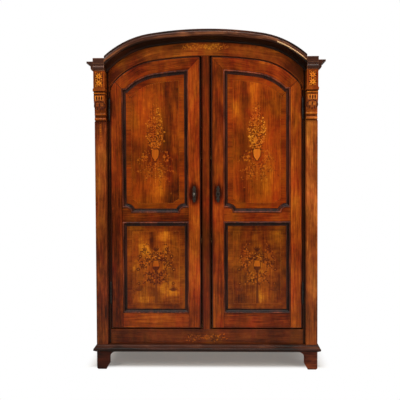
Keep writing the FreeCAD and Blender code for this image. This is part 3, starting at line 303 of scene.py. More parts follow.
def upper_outline(inset):
    """The right door's upper opening moved inwards by inset: arch, ear and two scooped lower corners.

    Each arc keeps its centre, its radius less the inset over the arch and more by it in the scoops,
    and a scoop wider than its step starts where it meets the side.
    """
    left = LOCK_STILE_INNER + inset
    right = HINGE_STILE_INNER - inset
    foot = UPPER_FOOT + inset
    scoop = NOTCH_RADIUS + inset
    low = math.degrees(math.asin(inset / scoop))
    high = math.degrees(math.acos(max(inset - NOTCH_STEP, 0.0) / scoop))
    step = UPPER_FOOT + scoop * math.sin(math.radians(high))
    left_scoop = np.array([LOCK_STILE_INNER + NOTCH_STEP, UPPER_FOOT])
    right_scoop = np.array([HINGE_STILE_INNER - NOTCH_STEP, UPPER_FOOT])
    ear = EAR_LEVEL - inset
    haunch = HAUNCH_RADIUS - RAIL_INSET - inset
    crown = CROWN_RADIUS - RAIL_INSET - inset
    ear_angle = math.degrees(math.asin((ear - HAUNCH_CENTRE[1]) / haunch))
    left_angle = math.degrees(math.acos(left / crown))
    over_haunch = arc(HAUNCH_CENTRE, haunch, ear_angle, TANGENT, 28)
    over_crown = arc(CROWN_CENTRE, crown, TANGENT, left_angle, 14)
    return np.concatenate([
        run((left, step), (left + max(NOTCH_STEP - inset, 0.0), step), 4),
        arc(left_scoop, scoop, high, low, 12),
        run((left_scoop[0] + scoop, foot), (right_scoop[0] - scoop, foot), 10)[1:],
        arc(right_scoop, scoop, 180 - low, 180 - high, 12),
        run((right - max(NOTCH_STEP - inset, 0.0), step), (right, step), 4)[1:],
        run((right, step), (right, ear), 30),
        run((right, ear), over_haunch[0], 4),
        over_haunch,
        over_crown[1:],
        run(over_crown[-1], (left, step), 30)[1:],
    ])


def lower_outline(inset):
    """The right door's lower opening, a rectangle moved inwards by inset."""
    left = LOCK_STILE_INNER + inset
    right = HINGE_STILE_INNER - inset
    foot = LOWER_FOOT + inset
    head = LOWER_HEAD - inset
    return np.concatenate([
        run((left, foot), (right, foot), 12),
        run((right, foot), (right, head), 16),
        run((right, head), (left, head), 12),
        run((left, head), (left, foot), 16),
    ])


def door_outline(inset):
    """The right door's outer edge moved inwards by inset: straight sides and foot under the arch."""
    left = DOOR_LOCK_EDGE + inset
    right = DOOR_HINGE_EDGE - inset
    foot = DOOR_FOOT + inset
    haunch = HAUNCH_RADIUS - DOOR_GAP - inset
    crown = CROWN_RADIUS - DOOR_GAP - inset
    low = math.degrees(math.acos((right - HAUNCH_CENTRE[0]) / haunch))
    over_haunch = arc(HAUNCH_CENTRE, haunch, low, TANGENT, 24)
    over_crown = arc(CROWN_CENTRE, crown, TANGENT, math.degrees(math.acos(left / crown)), 20)
    return np.concatenate([
        run((left, foot), (right, foot), 12),
        run((right, foot), over_haunch[0], 30),
        over_haunch,
        over_crown[1:],
        run(over_crown[-1], (left, foot), 30)[1:],
    ])


def ring(name, outline, profile, side, material, body, way="upright", seed=1.0, tone=0.0):
    """A closed moulding: at each inset and depth of its profile, the outline moved in by that inset."""
    rows = np.array([outline(inset) for inset, depth in profile])
    depth = np.array([depth for inset, depth in profile])[:, None, None]
    points = np.concatenate([rows, np.broadcast_to(depth, rows.shape[:2] + (1,))], axis=-1)
    points = points[..., [0, 2, 1]]
    points[..., 0] *= side
    faces = grid_faces(points.shape[0], points.shape[1], True, True)
    piece = outward(new_piece(name, points, faces, material, body))
    dress(piece.data, way, seed, tone)
    return piece


def rounded(start, end, rise, steps):
    """Profile points on a bow between two points that stands out to the front by rise at its middle."""
    share = np.linspace(0, 1, steps)
    inset = start[0] + (end[0] - start[0]) * share
    depth = start[1] + (end[1] - start[1]) * share - rise * np.sin(np.pi * share)
    return list(zip(inset, depth))


# ------------------------------------------------------------------- turned and pressed metal

BARREL_TURNS = 28
BOW_TURNS = 14


def turned(profile, x, y, z):
    """A lathe shape about an upright axis: radius and height pairs carried round a full circle."""
    angle = np.linspace(0, 2 * np.pi, BARREL_TURNS, endpoint=False)[None, :]
    radius = np.array([radius for radius, height in profile])[:, None]
    height = np.array([height for radius, height in profile])[:, None]
    return np.stack(
        [x + radius * np.cos(angle), y + radius * np.sin(angle), z + height + 0 * angle], axis=-1)


def caps(rows, columns):
    """End faces of a lathe grid."""
    return [list(range(columns)), list(range((rows - 1) * columns, rows * columns))]


def joined_shells(name, shells, material, body):
    """Several closed grids of points, each closed round its columns and capped, as one piece."""
    points = []
    faces = []
    first = 0
    for shell in shells:
        rows, columns = shell.shape[:2]
        faces += [[first + index for index in face]
                  for face in grid_faces(rows, columns, False, True).tolist() + caps(rows, columns)]
        points.append(shell.reshape(-1, 3))
        first += rows * columns
    return outward(new_piece(name, np.concatenate(points), faces, material, body))


def plate(x, y, z):
    """A thin rectangular block as a grid of two rows of four corners."""
    corners = [(x[0], y[0]), (x[1], y[0]), (x[1], y[1]), (x[0], y[1])]
    return np.array([[(px, py, height) for px, py in corners] for height in z])


# ------------------------------------------------------------------- inlay shapes

VENEER = 0.0004
TONE_SPREAD = 0.12
LAYERS = 29
LAYER_RISE = 6e-6


def almonds(place, angle, length, width, bend=0.0):
    """Leaves and petals: half width is 5/8 of the width times the root of sin(pi u) times 1 - 0.4 u.

    The middle line bends sideways by bend times the length times u squared; u runs from the stalk
    to the tip.
    """
    place = np.atleast_2d(place)
    count = len(place)
    angle = np.broadcast_to(np.radians(angle), count)[:, None, None]
    length = np.broadcast_to(length, count)[:, None, None]
    width = np.broadcast_to(width, count)[:, None, None]
    bend = np.broadcast_to(bend, count)[:, None, None]
    u = np.linspace(0, 1, 7)[None, :, None]
    v = np.array([-1.0, 0.0, 1.0])[None, None, :]
    half = width / 2 * np.sqrt(np.sin(np.pi * np.clip(u, 0.01, 0.99))) * (1 - 0.4 * u) * 1.25
    along = length * u + 0 * v
    across = v * half + bend * length * u ** 2
    x = place[:, 0][:, None, None] + along * np.cos(angle) - across * np.sin(angle)
    z = place[:, 1][:, None, None] + along * np.sin(angle) + across * np.cos(angle)
    return np.stack([x, z], axis=-1)


def buttons(place, radius):
    """Round eyes: a square grid drawn out to a disc, x = s sqrt(1 - t*t/2), z = t sqrt(1 - s*s/2)."""
    place = np.atleast_2d(place)
    radius = np.broadcast_to(radius, len(place))[:, None, None]
    line = np.linspace(-1, 1, 5)
    s, t = np.meshgrid(line, line)
    x = place[:, 0][:, None, None] + radius * (s * np.sqrt(1 - t * t / 2))[None]
    z = place[:, 1][:, None, None] + radius * (t * np.sqrt(1 - s * s / 2))[None]
    return np.stack([x, z], axis=-1)


def ribbons(lines, width):
    """Stalks and strings: each line of points widened to both sides of its own direction."""
    lines = np.asarray(lines, float)
    direction = np.gradient(lines, axis=1)
    direction /= np.maximum(np.linalg.norm(direction, axis=-1, keepdims=True), 1e-9)
    normal = np.stack([-direction[..., 1], direction[..., 0]], axis=-1)
    width = np.broadcast_to(np.asarray(width, float), lines.shape[:2])[..., None]
    return np.stack([lines - normal * width / 2, lines + normal * width / 2], axis=2)


def scroll(start, angle, length, curl, steps=24):
    """A line whose direction turns evenly faster: angle plus curl times the share squared.

    Its steps grow shorter on the way, down to 0.55 of the first.
    """
    share = np.linspace(0, 1, steps)
    heading = np.radians(angle + curl * share ** 2)
    step = length / (steps - 1) * (1 - 0.45 * share)
    x = start[0] + np.cumsum(step * np.cos(heading)) - step[0] * math.cos(heading[0])
    z = start[1] + np.cumsum(step * np.sin(heading)) - step[0] * math.sin(heading[0])
    return np.stack([x, z], axis=-1)


def shaped(levels, widths, place, steps=3):
    """A flat vase or foot: half widths at rising levels about an upright middle line."""
    half = np.array(widths)[:, None]
    across = np.linspace(-1, 1, steps)[None, :]
    x = place[0] + half * across
    z = place[1] + np.array(levels)[:, None] + 0 * across
    return np.stack([x, z], axis=-1)[None]


def flower(place, radius, petals, turn=0.0):
    """Petals in a ring about an eye."""
    place = np.asarray(place, float)
    angle = turn + np.arange(petals) * 360.0 / petals
    start = place + 0.15 * radius * np.stack([np.cos(np.radians(angle)), np.sin(np.radians(angle))], -1)
    return almonds(start, angle, radius * 0.9, radius * 0.62)


def inlay(name, groups, side, front, material, body, way="upright", seed=3.0, over=None):
    """Flat veneer shapes let into a surface, as one piece: every group is an array of small grids.

    Each shape lies a few thousandths of a millimetre over the last one and starts again after 29, so
    that neighbours don't share a plane. Over gives the surface's depth where it isn't flat.
    """
    points = []
    tones = []
    lifts = []
    faces = []
    first = 0
    random = np.random.default_rng(int(seed * 10) + 5)
    for group, tone in groups:
        count, rows, columns = group.shape[:3]
        cells = grid_faces(rows, columns, False, False)
        offsets = first + np.arange(count)[:, None, None] * rows * columns
        faces.append((cells[None] + offsets).reshape(-1, 4))
        points.append(group.reshape(-1, 2))
        shade = tone + random.uniform(-TONE_SPREAD, TONE_SPREAD, count)
        tones.append(np.repeat(shade, rows * columns))
        lifts.append(np.repeat((np.arange(count) % LAYERS + len(lifts)) * LAYER_RISE, rows * columns))
        first += count * rows * columns
    flat = np.concatenate(points)
    depth = np.full(len(flat), front) if over is None else over(flat[:, 1])
    depth = depth - np.concatenate(lifts)
    place = np.stack([flat[:, 0] * side, depth, flat[:, 1]], axis=-1)
    mesh = bpy.data.meshes.new(name)
    mesh.from_pydata(place, [], np.concatenate(faces).tolist())
    turn = bmesh.new()
    turn.from_mesh(mesh)
    turn.normal_update()
    wrong = [face for face in turn.faces if face.normal.y > 0]
    bmesh.ops.reverse_faces(turn, faces=wrong)
    turn.to_mesh(mesh)
    turn.free()
    dress(mesh, way, seed)
    set_tone(mesh, np.concatenate(tones))
    mesh.materials.append(material)
    piece = bpy.data.objects.new(name, mesh)
    bpy.context.scene.collection.objects.link(piece)
    solid = piece.modifiers.new("veneer", "SOLIDIFY")
    solid.thickness = VENEER
    solid.offset = -1.0
    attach(piece, body)
    return piece


# ------------------------------------------------------------------- finishes


def part_of(tree, kind, inputs=None, **settings):
    """Adds a shader node; each input takes a value or another node's output."""
    made = tree.nodes.new(kind)
    for key, value in settings.items():
        setattr(made, key, value)
    for key, value in (inputs or {}).items():
        if isinstance(value, bpy.types.NodeSocket):
            tree.links.new(value, made.inputs[key])
        else:
            made.inputs[key].default_value = value
    return made


def linear(colour):
    """A colour given in display steps of 0 to 255 as linear light."""
    share = np.array(colour) / 255.0
    return tuple(np.where(share > 0.04045, ((share + 0.055) / 1.055) ** 2.4, share / 12.92)) + (1.0,)


def ramp(tree, factor, stops):
    """A colour ramp; each stop is a place and a colour in display steps."""
    made = part_of(tree, "ShaderNodeValToRGB", {0: factor})
    elements = made.color_ramp.elements
    while len(elements) < len(stops):
        elements.new(0.5)
    for element, (place, colour) in zip(elements, stops):
        element.position = place
        element.color = linear(colour)
    return made.outputs[0]


def stretched_noise(tree, vector, stretch, detail=3.0, roughness=0.55, distortion=0.0):
    """Noise on wood coordinates, drawn out by one factor for each direction."""
    scaled = part_of(tree, "ShaderNodeVectorMath", {0: vector, 1: stretch}, operation="MULTIPLY")
    made = part_of(tree, "ShaderNodeTexNoise", {
        "Vector": scaled.outputs[0],
        "Scale": 1.0,
        "Detail": detail,
        "Roughness": roughness,
        "Distortion": distortion,
    })
    return made.outputs[0]


def sum_of(tree, start, weighed):
    """Start plus, for each noise, its distance from a half times its weight."""
    total = start
    for value, weight in weighed:
        centred = part_of(tree, "ShaderNodeMath", {0: value, 1: weight, 2: -weight / 2},
                          operation="MULTIPLY_ADD").outputs[0]
        total = part_of(tree, "ShaderNodeMath", {0: total, 1: centred}, operation="ADD").outputs[0]
    return total


def attribute(tree, name, output):
    """What a mesh stores at its points under a name."""
    return part_of(tree, "ShaderNodeAttribute", attribute_name=name).outputs[output]


def finish(name):
    """An empty finish: its node tree and its main shader."""
    made = bpy.data.materials.new(name)
    made.use_nodes = True
    tree = made.node_tree
    return made, tree, tree.nodes["Principled BSDF"]


def wood(name, shades, broad=0.55, fibre=0.35, cloud=0.4, mottle=0.0, flecks=0.5, sheen=(0.30, 0.42),
         coat=0.10, bands=(), patches=(), levels=(), middle=0.5):
    """Figured wood, whose hue drifts slowly between red and gold.

    Broad stripes, fine fibres, clouds and ripples across the grain add up to a shade on the ramp. Bands
    darken or lighten upright strips, patches do so in ovals and levels in belts between two heights.
    """
    made, tree, shader = finish(name)
    grain = attribute(tree, "grain", "Vector")
    tone = attribute(tree, "tone", "Fac")
    coordinates = part_of(tree, "ShaderNodeTexCoord").outputs["Object"]
    stripes = stretched_noise(tree, grain, (1.2, 13.0, 13.0), 6.0, 0.72, 0.7)
    fibres = stretched_noise(tree, grain, (7.0, 210.0, 210.0), 4.0, 0.65)
    clouds = stretched_noise(tree, coordinates, (5.0, 5.0, 3.4), 3.0, 0.6, 0.4)
    ripple = stretched_noise(tree, grain, (42.0, 13.0, 13.0), 2.0, 0.5, 0.8)
    blotches = stretched_noise(tree, coordinates, (26.0, 26.0, 17.0), 3.0, 0.65, 0.6)
    pores = stretched_noise(tree, grain, (55.0, 1300.0, 1300.0), 1.0)
    start = part_of(tree, "ShaderNodeMath", {0: tone, 1: middle}, operation="ADD").outputs[0]
    shade = sum_of(tree, start, [(stripes, broad * 2), (fibres, fibre * 1.6), (clouds, cloud * 2),
                                 (ripple, mottle * 2), (blotches, cloud * 0.9)])
    shade = darkened(tree, shade, coordinates, bands, patches, levels)
    drift = stretched_noise(tree, coordinates, (11.0, 11.0, 5.0), 4.0, 0.65, 0.5)
    hue = part_of(tree, "ShaderNodeMapRange", {0: drift, 1: 0.3, 2: 0.7, 3: 0.494, 4: 0.513})
    colour = part_of(tree, "ShaderNodeHueSaturation", {
        "Hue": hue.outputs[0], "Saturation": 1.0, "Color": ramp(tree, shade, shades)}).outputs[0]
    pore = part_of(tree, "ShaderNodeMapRange", {0: pores, 1: 0.30, 2: 0.42, 3: flecks, 4: 0.0})
    dark = part_of(tree, "ShaderNodeMix", {0: pore.outputs[0], 6: colour, 7: linear(shades[0][1])},
                   data_type="RGBA")
    tree.links.new(dark.outputs[2], shader.inputs["Base Color"])
    gloss = part_of(tree, "ShaderNodeMapRange", {0: clouds, 1: 0.3, 2: 0.7, 3: sheen[0], 4: sheen[1]})
    tree.links.new(gloss.outputs[0], shader.inputs["Roughness"])
    height = sum_of(tree, stripes, [(fibres, 0.8), (pore.outputs[0], -0.6)])
    relief = part_of(tree, "ShaderNodeBump", {"Height": height, "Strength": 0.25, "Distance": 0.0006})
    tree.links.new(relief.outputs[0], shader.inputs["Normal"])
    shader.inputs["Specular IOR Level"].default_value = 0.03
    shader.inputs["Coat Weight"].default_value = coat
    shader.inputs["Coat Roughness"].default_value = 0.12
    return made


def soft_fall(tree, distance, reach, strength):
    """Strength at no distance, smoothly down to nothing at the reach."""
    made = part_of(tree, "ShaderNodeMapRange", {0: distance, 1: 0.0, 2: reach, 3: strength, 4: 0.0},
                   interpolation_type="SMOOTHSTEP")
    return made.outputs[0]


def darkened(tree, shade, coordinates, bands, patches, levels):
    """Adds to the shade in strips, ovals and belts at set places on the furniture.

    A band is a place across, half its width and a strength; a patch is a place across and up, its half
    sizes and a strength; a level is a bottom, a top and a strength. A slow noise makes bands wander.
    """
    parts = part_of(tree, "ShaderNodeSeparateXYZ", {0: coordinates})
    wander = stretched_noise(tree, coordinates, (3.0, 3.0, 2.6), 3.0, 0.6)
    place = part_of(tree, "ShaderNodeMath", {0: wander, 1: 0.09, 2: -0.045}, operation="MULTIPLY_ADD")
    place = part_of(tree, "ShaderNodeMath", {0: parts.outputs[0], 1: place.outputs[0]}, operation="ADD")
    added = []
    for centre, half, strength in bands:
        offset = part_of(tree, "ShaderNodeMath", {0: place.outputs[0], 1: centre}, operation="SUBTRACT")
        away = part_of(tree, "ShaderNodeMath", {0: offset.outputs[0]}, operation="ABSOLUTE")
        added.append(soft_fall(tree, away.outputs[0], half, strength))
    for across, up, half_width, half_height, strength in patches:
        moved = part_of(tree, "ShaderNodeVectorMath", {0: coordinates, 1: (across, 0.0, up)},
                        operation="SUBTRACT")
        scaled = part_of(tree, "ShaderNodeVectorMath",
                         {0: moved.outputs[0], 1: (1 / half_width, 0.0, 1 / half_height)},
                         operation="MULTIPLY")
        away = part_of(tree, "ShaderNodeVectorMath", {0: scaled.outputs[0]}, operation="LENGTH")
        added.append(soft_fall(tree, away.outputs["Value"], 1.0, strength))
    for bottom, top, strength in levels:
        inside = part_of(tree, "ShaderNodeMath", {0: parts.outputs[2], 1: (bottom + top) / 2,
                                                  2: (top - bottom) / 2}, operation="COMPARE")
        belt = part_of(tree, "ShaderNodeMath", {0: inside.outputs[0], 1: strength}, operation="MULTIPLY")
        added.append(belt.outputs[0])
    for part in added:
        shade = part_of(tree, "ShaderNodeMath", {0: shade, 1: part}, operation="ADD").outputs[0]
    return shade


def ebonised(name, black, rubbed, amount, sheen, coat, light_and_shade_belts=()):
    """Black polish over a brown wood, rubbed through in patches and along the grain; level belts lighten or
    darken it, which on the base moulding is painted highlight and shade.
    """
    made, tree, shader = finish(name)
    grain = attribute(tree, "grain", "Vector")
    tone = attribute(tree, "tone", "Fac")
    streaks = stretched_noise(tree, grain, (5.0, 60.0, 60.0), 4.0, 0.6)
    patches = stretched_noise(tree, grain, (6.0, 22.0, 22.0), 3.0, 0.6, 0.5)
    start = part_of(tree, "ShaderNodeMath", {0: tone, 1: 0.28 + amount}, operation="ADD").outputs[0]
    rub = sum_of(tree, start, [(streaks, 0.9), (patches, 1.2)])
    coordinates = part_of(tree, "ShaderNodeTexCoord").outputs["Object"]
    rub = darkened(tree, rub, coordinates, (), (), light_and_shade_belts)
    black = np.array(black)
    colour = ramp(tree, rub, [(0.0, tuple(black * 0.4)), (0.22, tuple(black)), (0.45, tuple(black * 1.3)),
                              (0.86, rubbed)])
    tree.links.new(colour, shader.inputs["Base Color"])
    gloss = part_of(tree, "ShaderNodeMapRange", {0: patches, 1: 0.3, 2: 0.7, 3: sheen, 4: sheen + 0.18})
    tree.links.new(gloss.outputs[0], shader.inputs["Roughness"])
    relief = part_of(tree, "ShaderNodeBump", {"Height": streaks, "Strength": 0.2, "Distance": 0.0005})
    tree.links.new(relief.outputs[0], shader.inputs["Normal"])
    shader.inputs["Specular IOR Level"].default_value = 0.1
    shader.inputs["Coat Weight"].default_value = coat
    shader.inputs["Coat Roughness"].default_value = 0.08
    return made


def metal(name, dark, light, shine, rough):
    """Old metal: bright where it is handled, dull and brown in patches elsewhere."""
    made, tree, shader = finish(name)
    coordinates = part_of(tree, "ShaderNodeTexCoord").outputs["Object"]
    patches = stretched_noise(tree, coordinates, (120.0, 120.0, 120.0), 4.0, 0.65)
    pits = stretched_noise(tree, coordinates, (900.0, 900.0, 900.0), 2.0, 0.6)
    colour = ramp(tree, patches, [(0.35, dark), (0.68, light)])
    tree.links.new(colour, shader.inputs["Base Color"])
    gloss = part_of(tree, "ShaderNodeMapRange", {0: patches, 1: 0.3, 2: 0.7, 3: rough + 0.2, 4: rough})
    tree.links.new(gloss.outputs[0], shader.inputs["Roughness"])
    relief = part_of(tree, "ShaderNodeBump", {"Height": pits, "Strength": 0.3, "Distance": 0.0003})
    tree.links.new(relief.outputs[0], shader.inputs["Normal"])
    shader.inputs["Metallic"].default_value = shine
    return made


RED_WALNUT = [(0.05, (42, 10, 2)), (0.35, (82, 26, 5)), (0.62, (118, 43, 8)), (0.95, (158, 72, 17))]
BROWN_WALNUT = [(0.05, (26, 8, 2)), (0.38, (60, 21, 6)), (0.65, (94, 38, 12)), (0.95, (134, 66, 24))]
PILASTER_WALNUT = [(0.05, (42, 13, 5)), (0.35, (86, 34, 11)), (0.62, (126, 57, 19)), (0.95, (178, 98, 38))]
PANEL_WALNUT = [(0.02, (44, 13, 3)), (0.32, (94, 32, 5)), (0.6, (132, 51, 7)), (0.95, (180, 88, 14))]
GOLD_BURR = [(0.02, (50, 17, 4)), (0.32, (90, 35, 6)), (0.62, (124, 56, 9)), (0.95, (172, 97, 18))]
PINE = [(0.05, (124, 84, 48)), (0.4, (164, 120, 74)), (0.7, (190, 148, 98)), (0.95, (210, 172, 122))]
AMBER = [(0.05, (66, 23, 5)), (0.4, (114, 48, 11)), (0.7, (152, 74, 19)), (0.95, (196, 112, 40))]

# Belts on the base moulding: painted highlight on the upper arris of the nose and on the top, painted shade
# below the nose.
BASE_HIGHLIGHT_AND_SHADE = [(0.1360, 0.1450, 0.16), (0.1180, 0.1250, -0.30), (0.1250, 0.1350, -0.04),
              (0.1450, 0.1570, 0.14)]
# Belts on the consoles: painted highlight on the rounded beads and painted shade in the quirks between
# them.
CONSOLE_HIGHLIGHT_AND_SHADE = [
    (1.5435, 1.5512, -0.28), (1.5512, 1.5655, 0.24), (1.5655, 1.5803, -0.26), (1.5803, 1.5948, 0.24),
    (1.7020, 1.7088, -0.34), (1.7088, 1.7168, 0.34), (1.7168, 1.7262, -0.26),
]

STREAK_LEVEL = 1.1
STREAK_HALF = 6.0


def edge_streaks(place, reach, strength):
    """A streak up the whole height on both sides of the middle, as very tall patches."""
    return [(side * place, STREAK_LEVEL, reach, STREAK_HALF, strength) for side in (-1, 1)]


def hinge_shade(strength):
    """Dark ovals round the hinges, heavier on the right: painted shade in the recesses beside the hinge
    barrels.
    """
    return [(side * HINGE_X, height, 0.030, 0.085, strength - 0.15 * side)
            for side in (-1, 1) for height in HINGE_LEVELS]


def lock_shade():
    """Dark ovals round the keyhole plates, wider and heavier on the left: painted shade of the plates and
    of the key in the left door.
    """
    return [(side * KEY_X, LOCK_HEIGHT, 0.045 - 0.005 * side, 0.092, -1.10 + 0.22 * side)
            for side in (-1, 1)]


# Door boards: painted shade in dark strips along the lock and hinge edges for the gaps, and round the
# hinges and keyhole plates; the light strip by the hinge stile's inner edge is wear.
DOOR_SHADE_AND_WEAR = (
    edge_streaks(DOOR_LOCK_EDGE - 0.0005, 0.013, -0.75)
    + edge_streaks(DOOR_HINGE_EDGE + 0.001, 0.014, -0.75)
    + edge_streaks(HINGE_STILE_INNER + 0.007, 0.012, 0.10)
    + hinge_shade(-0.45)
    + lock_shade()
)
# Painted shade in dark strips along both edges of the centre post, for the gaps beside the doors.
POST_GAP_SHADE = edge_streaks(0.027, 0.012, -0.7)
# Pilasters: painted shade in a dark strip along the inner edge and in ovals at the hinges; the right
# pilaster is also lighter at mid height and darker towards the foot.
PILASTER_EDGES = (edge_streaks(0.610, 0.014, -0.5) + hinge_shade(-0.35)
                  + [(0.655, 0.90, 0.08, 0.34, 0.10), (0.650, 0.30, 0.08, 0.20, -0.12)])
# Painted shade and light on the frieze: darkest in its lower corners beside the consoles and under the
# cornice on the left, lighter at the crown and to its right.
FRIEZE_LIGHT_AND_SHADE = [
    (-0.57, 1.79, 0.20, 0.14, -0.75), (0.57, 1.80, 0.16, 0.18, -0.55), (-0.47, 1.91, 0.14, 0.05, -0.02),
    (-0.22, 1.985, 0.17, 0.06, -0.20), (-0.42, 1.93, 0.22, 0.10, -0.22), (0.0, 2.0, 0.12, 0.05, 0.10),
    (0.24, 1.98, 0.18, 0.07, 0.20),
]

frame_veneer = wood("frame_veneer", RED_WALNUT, fibre=0.7, cloud=0.5, patches=DOOR_SHADE_AND_WEAR)
# Dark finish for the rounded edges of the door boards: painted shade along the gaps round the doors, and
# dark joints between stiles and rails.
frame_shaded_edge = wood("frame_shaded_edge", RED_WALNUT, middle=0.08, sheen=(0.26, 0.36))
pilaster_veneer = wood("pilaster_veneer", PILASTER_WALNUT, fibre=0.75, cloud=0.5, patches=PILASTER_EDGES)
pilaster_edge = wood("pilaster_edge", PILASTER_WALNUT, middle=0.62, sheen=(0.26, 0.36))
post_veneer = wood("post_veneer", RED_WALNUT, fibre=0.45, middle=0.34, patches=POST_GAP_SHADE)
frieze_veneer = wood("frieze_veneer", AMBER, broad=0.7, fibre=0.6, cloud=0.5, middle=0.34,
                     patches=FRIEZE_LIGHT_AND_SHADE)
# The case veneer has a dark strip at the front posts' inner edge: painted shade in the recess beside the
# hinges.
case_veneer = wood("case_veneer", BROWN_WALNUT, patches=edge_streaks(0.606, 0.013, -0.6))
case_edge = wood("case_edge", BROWN_WALNUT, middle=0.70, sheen=(0.26, 0.36))
cross_veneer = wood("cross_veneer", PANEL_WALNUT, middle=0.42, broad=0.45, cloud=0.3)
cross_burr = wood("cross_burr", GOLD_BURR, middle=0.36, broad=0.45, cloud=0.5, mottle=0.2)
left_figure = wood(
    "left_figure", PANEL_WALNUT, broad=0.40, cloud=0.45, fibre=0.55, mottle=0.1, middle=0.38,
    bands=[(-0.232, 0.042, -0.24), (-0.485, 0.04, -0.10), (-0.42, 0.07, 0.06), (-0.176, 0.030, -0.14)],
    patches=[(-0.335, 1.64, 0.09, 0.18, 0.04), (-0.34, 1.16, 0.15, 0.20, 0.12),
             (-0.185, 1.09, 0.08, 0.17, -0.26), (-0.43, 1.38, 0.10, 0.10, -0.06)])
right_figure = wood(
    "right_figure", PANEL_WALNUT, broad=0.35, cloud=0.4, fibre=0.55, mottle=0.1, middle=0.52,
    bands=[(0.238, 0.045, -0.20), (0.18, 0.05, -0.01)],
    patches=[(0.235, 1.72, 0.05, 0.14, -0.16), (0.24, 1.06, 0.05, 0.14, -0.18),
             (0.29, 1.74, 0.06, 0.20, 0.20), (0.18, 1.64, 0.04, 0.10, 0.16),
             (0.385, 1.70, 0.07, 0.12, -0.16), (0.41, 1.12, 0.12, 0.14, 0.16)])
left_burr = wood(
    "left_burr", GOLD_BURR, broad=0.25, cloud=0.55, fibre=0.55, mottle=0.28, middle=0.45,
    patches=[(-0.340, 0.80, 0.035, 0.10, -0.40), (-0.385, 0.75, 0.05, 0.07, 0.40),
             (-0.25, 0.83, 0.07, 0.06, 0.40), (-0.44, 0.63, 0.06, 0.12, 0.30),
             (-0.23, 0.49, 0.11, 0.09, 0.38), (-0.39, 0.46, 0.09, 0.06, 0.22),
             (-0.185, 0.86, 0.05, 0.05, -0.30), (-0.315, 0.62, 0.16, 0.20, 0.06)])
right_burr = wood(
    "right_burr", GOLD_BURR, broad=0.3, cloud=0.5, fibre=0.55, mottle=0.26, middle=0.38,
    patches=[(0.315, 0.62, 0.17, 0.24, 0.14), (0.40, 0.64, 0.09, 0.12, 0.14),
             (0.34, 0.46, 0.10, 0.07, 0.18), (0.42, 0.82, 0.06, 0.06, 0.14)])
console_burr = wood("console_burr", AMBER, mottle=0.15, middle=0.36, levels=CONSOLE_HIGHLIGHT_AND_SHADE)
console_edge = wood("console_edge", AMBER, middle=0.50, levels=CONSOLE_HIGHLIGHT_AND_SHADE)
inner_pine = wood("inner_pine", PINE, broad=0.5, cloud=0.3, coat=0.0, sheen=(0.6, 0.75), flecks=0.15)
pine_edge = wood("pine_edge", PINE, middle=0.35, coat=0.0, sheen=(0.6, 0.75), flecks=0.15)
light_inlay = wood("light_inlay", [(0.0, (84, 31, 6)), (0.5, (144, 66, 12)), (1.0, (196, 114, 30))],
                   broad=0.2, fibre=0.3, cloud=0.2, flecks=0.1)
dark_inlay = wood("dark_inlay", [(0.0, (36, 11, 4)), (0.5, (64, 23, 7)), (1.0, (100, 42, 11))],
                  broad=0.2, fibre=0.3, cloud=0.2, flecks=0.1)
amber_ground = wood("amber_ground", AMBER, broad=0.35, cloud=0.35, mottle=0.2, middle=0.31,
                    levels=[(1.598, 1.636, -0.30), (1.652, 1.699, 0.16)])
black_polish = ebonised("black_polish", (42, 16, 7), (124, 55, 25), 0.04, 0.32, 0.07)
brown_polish = ebonised("brown_polish", (44, 20, 9), (128, 76, 43), -0.03, 0.34, 0.14)
brown_edge = ebonised("brown_edge", (74, 46, 30), (150, 108, 78), 0.1, 0.32, 0.2)
bare_wood = wood("bare_wood", [(0.1, (62, 34, 18)), (0.5, (132, 92, 60)), (0.9, (198, 158, 118))],
                 broad=0.5, fibre=0.6, cloud=0.8, middle=0.6)
foot_polish = ebonised("foot_polish", (44, 15, 5), (112, 52, 24), 0.0, 0.4, 0.0)
foot_edge = ebonised("foot_edge", (60, 30, 18), (124, 80, 50), 0.1, 0.36, 0.1)
base_polish = ebonised("base_polish", (46, 20, 9), (124, 78, 46), 0.0, 0.40, 0.04, BASE_HIGHLIGHT_AND_SHADE)
dark_iron = metal("dark_iron", (16, 13, 12), (44, 38, 34), 0.75, 0.42)
dark_brass = metal("dark_brass", (12, 8, 4), (44, 28, 13), 0.55, 0.46)
worn_steel = metal("worn_steel", (58, 52, 46), (176, 166, 152), 0.9, 0.26)

# ------------------------------------------------------------------- boards of the case and doors

# grain, face, worn edge, slot, tone of the left and the right board, change of tone with height
CASE_BOARDS = {
    "front_post": ("upright", case_veneer, case_edge, "carcass_walnut", (-0.16, -0.06), 0.0),
    "back_post": ("upright", case_veneer, case_edge, "carcass_walnut", (-0.1, -0.02), 0.0),
    "pilaster": ("upright", pilaster_veneer, pilaster_edge, "carcass_walnut", (-0.12, 0.06), 0.10),
    "console": ("upright", console_burr, console_edge, "burr_veneer", (0.0, 0.08), 0.0),
    "capital": ("level", brown_polish, brown_edge, "ebonised_wood", (0.17, 0.10), 0.0),
    "side_cornice": ("deep", brown_polish, brown_edge, "ebonised_wood", (0.06, 0.06), 0.0),
    "front_foot": ("level", foot_polish, foot_edge, "ebonised_wood", (-0.03, 0.28), 0.0),
    "back_foot": ("level", foot_polish, foot_edge, "ebonised_wood", (0.0, 0.1), 0.0),
    "side_rails": ("deep", case_veneer, case_edge, "carcass_walnut", (0.0, 0.08), 0.0),
    "side_panels": ("upright", case_veneer, case_edge, "carcass_walnut", (0.08, 0.16), 0.0),
}
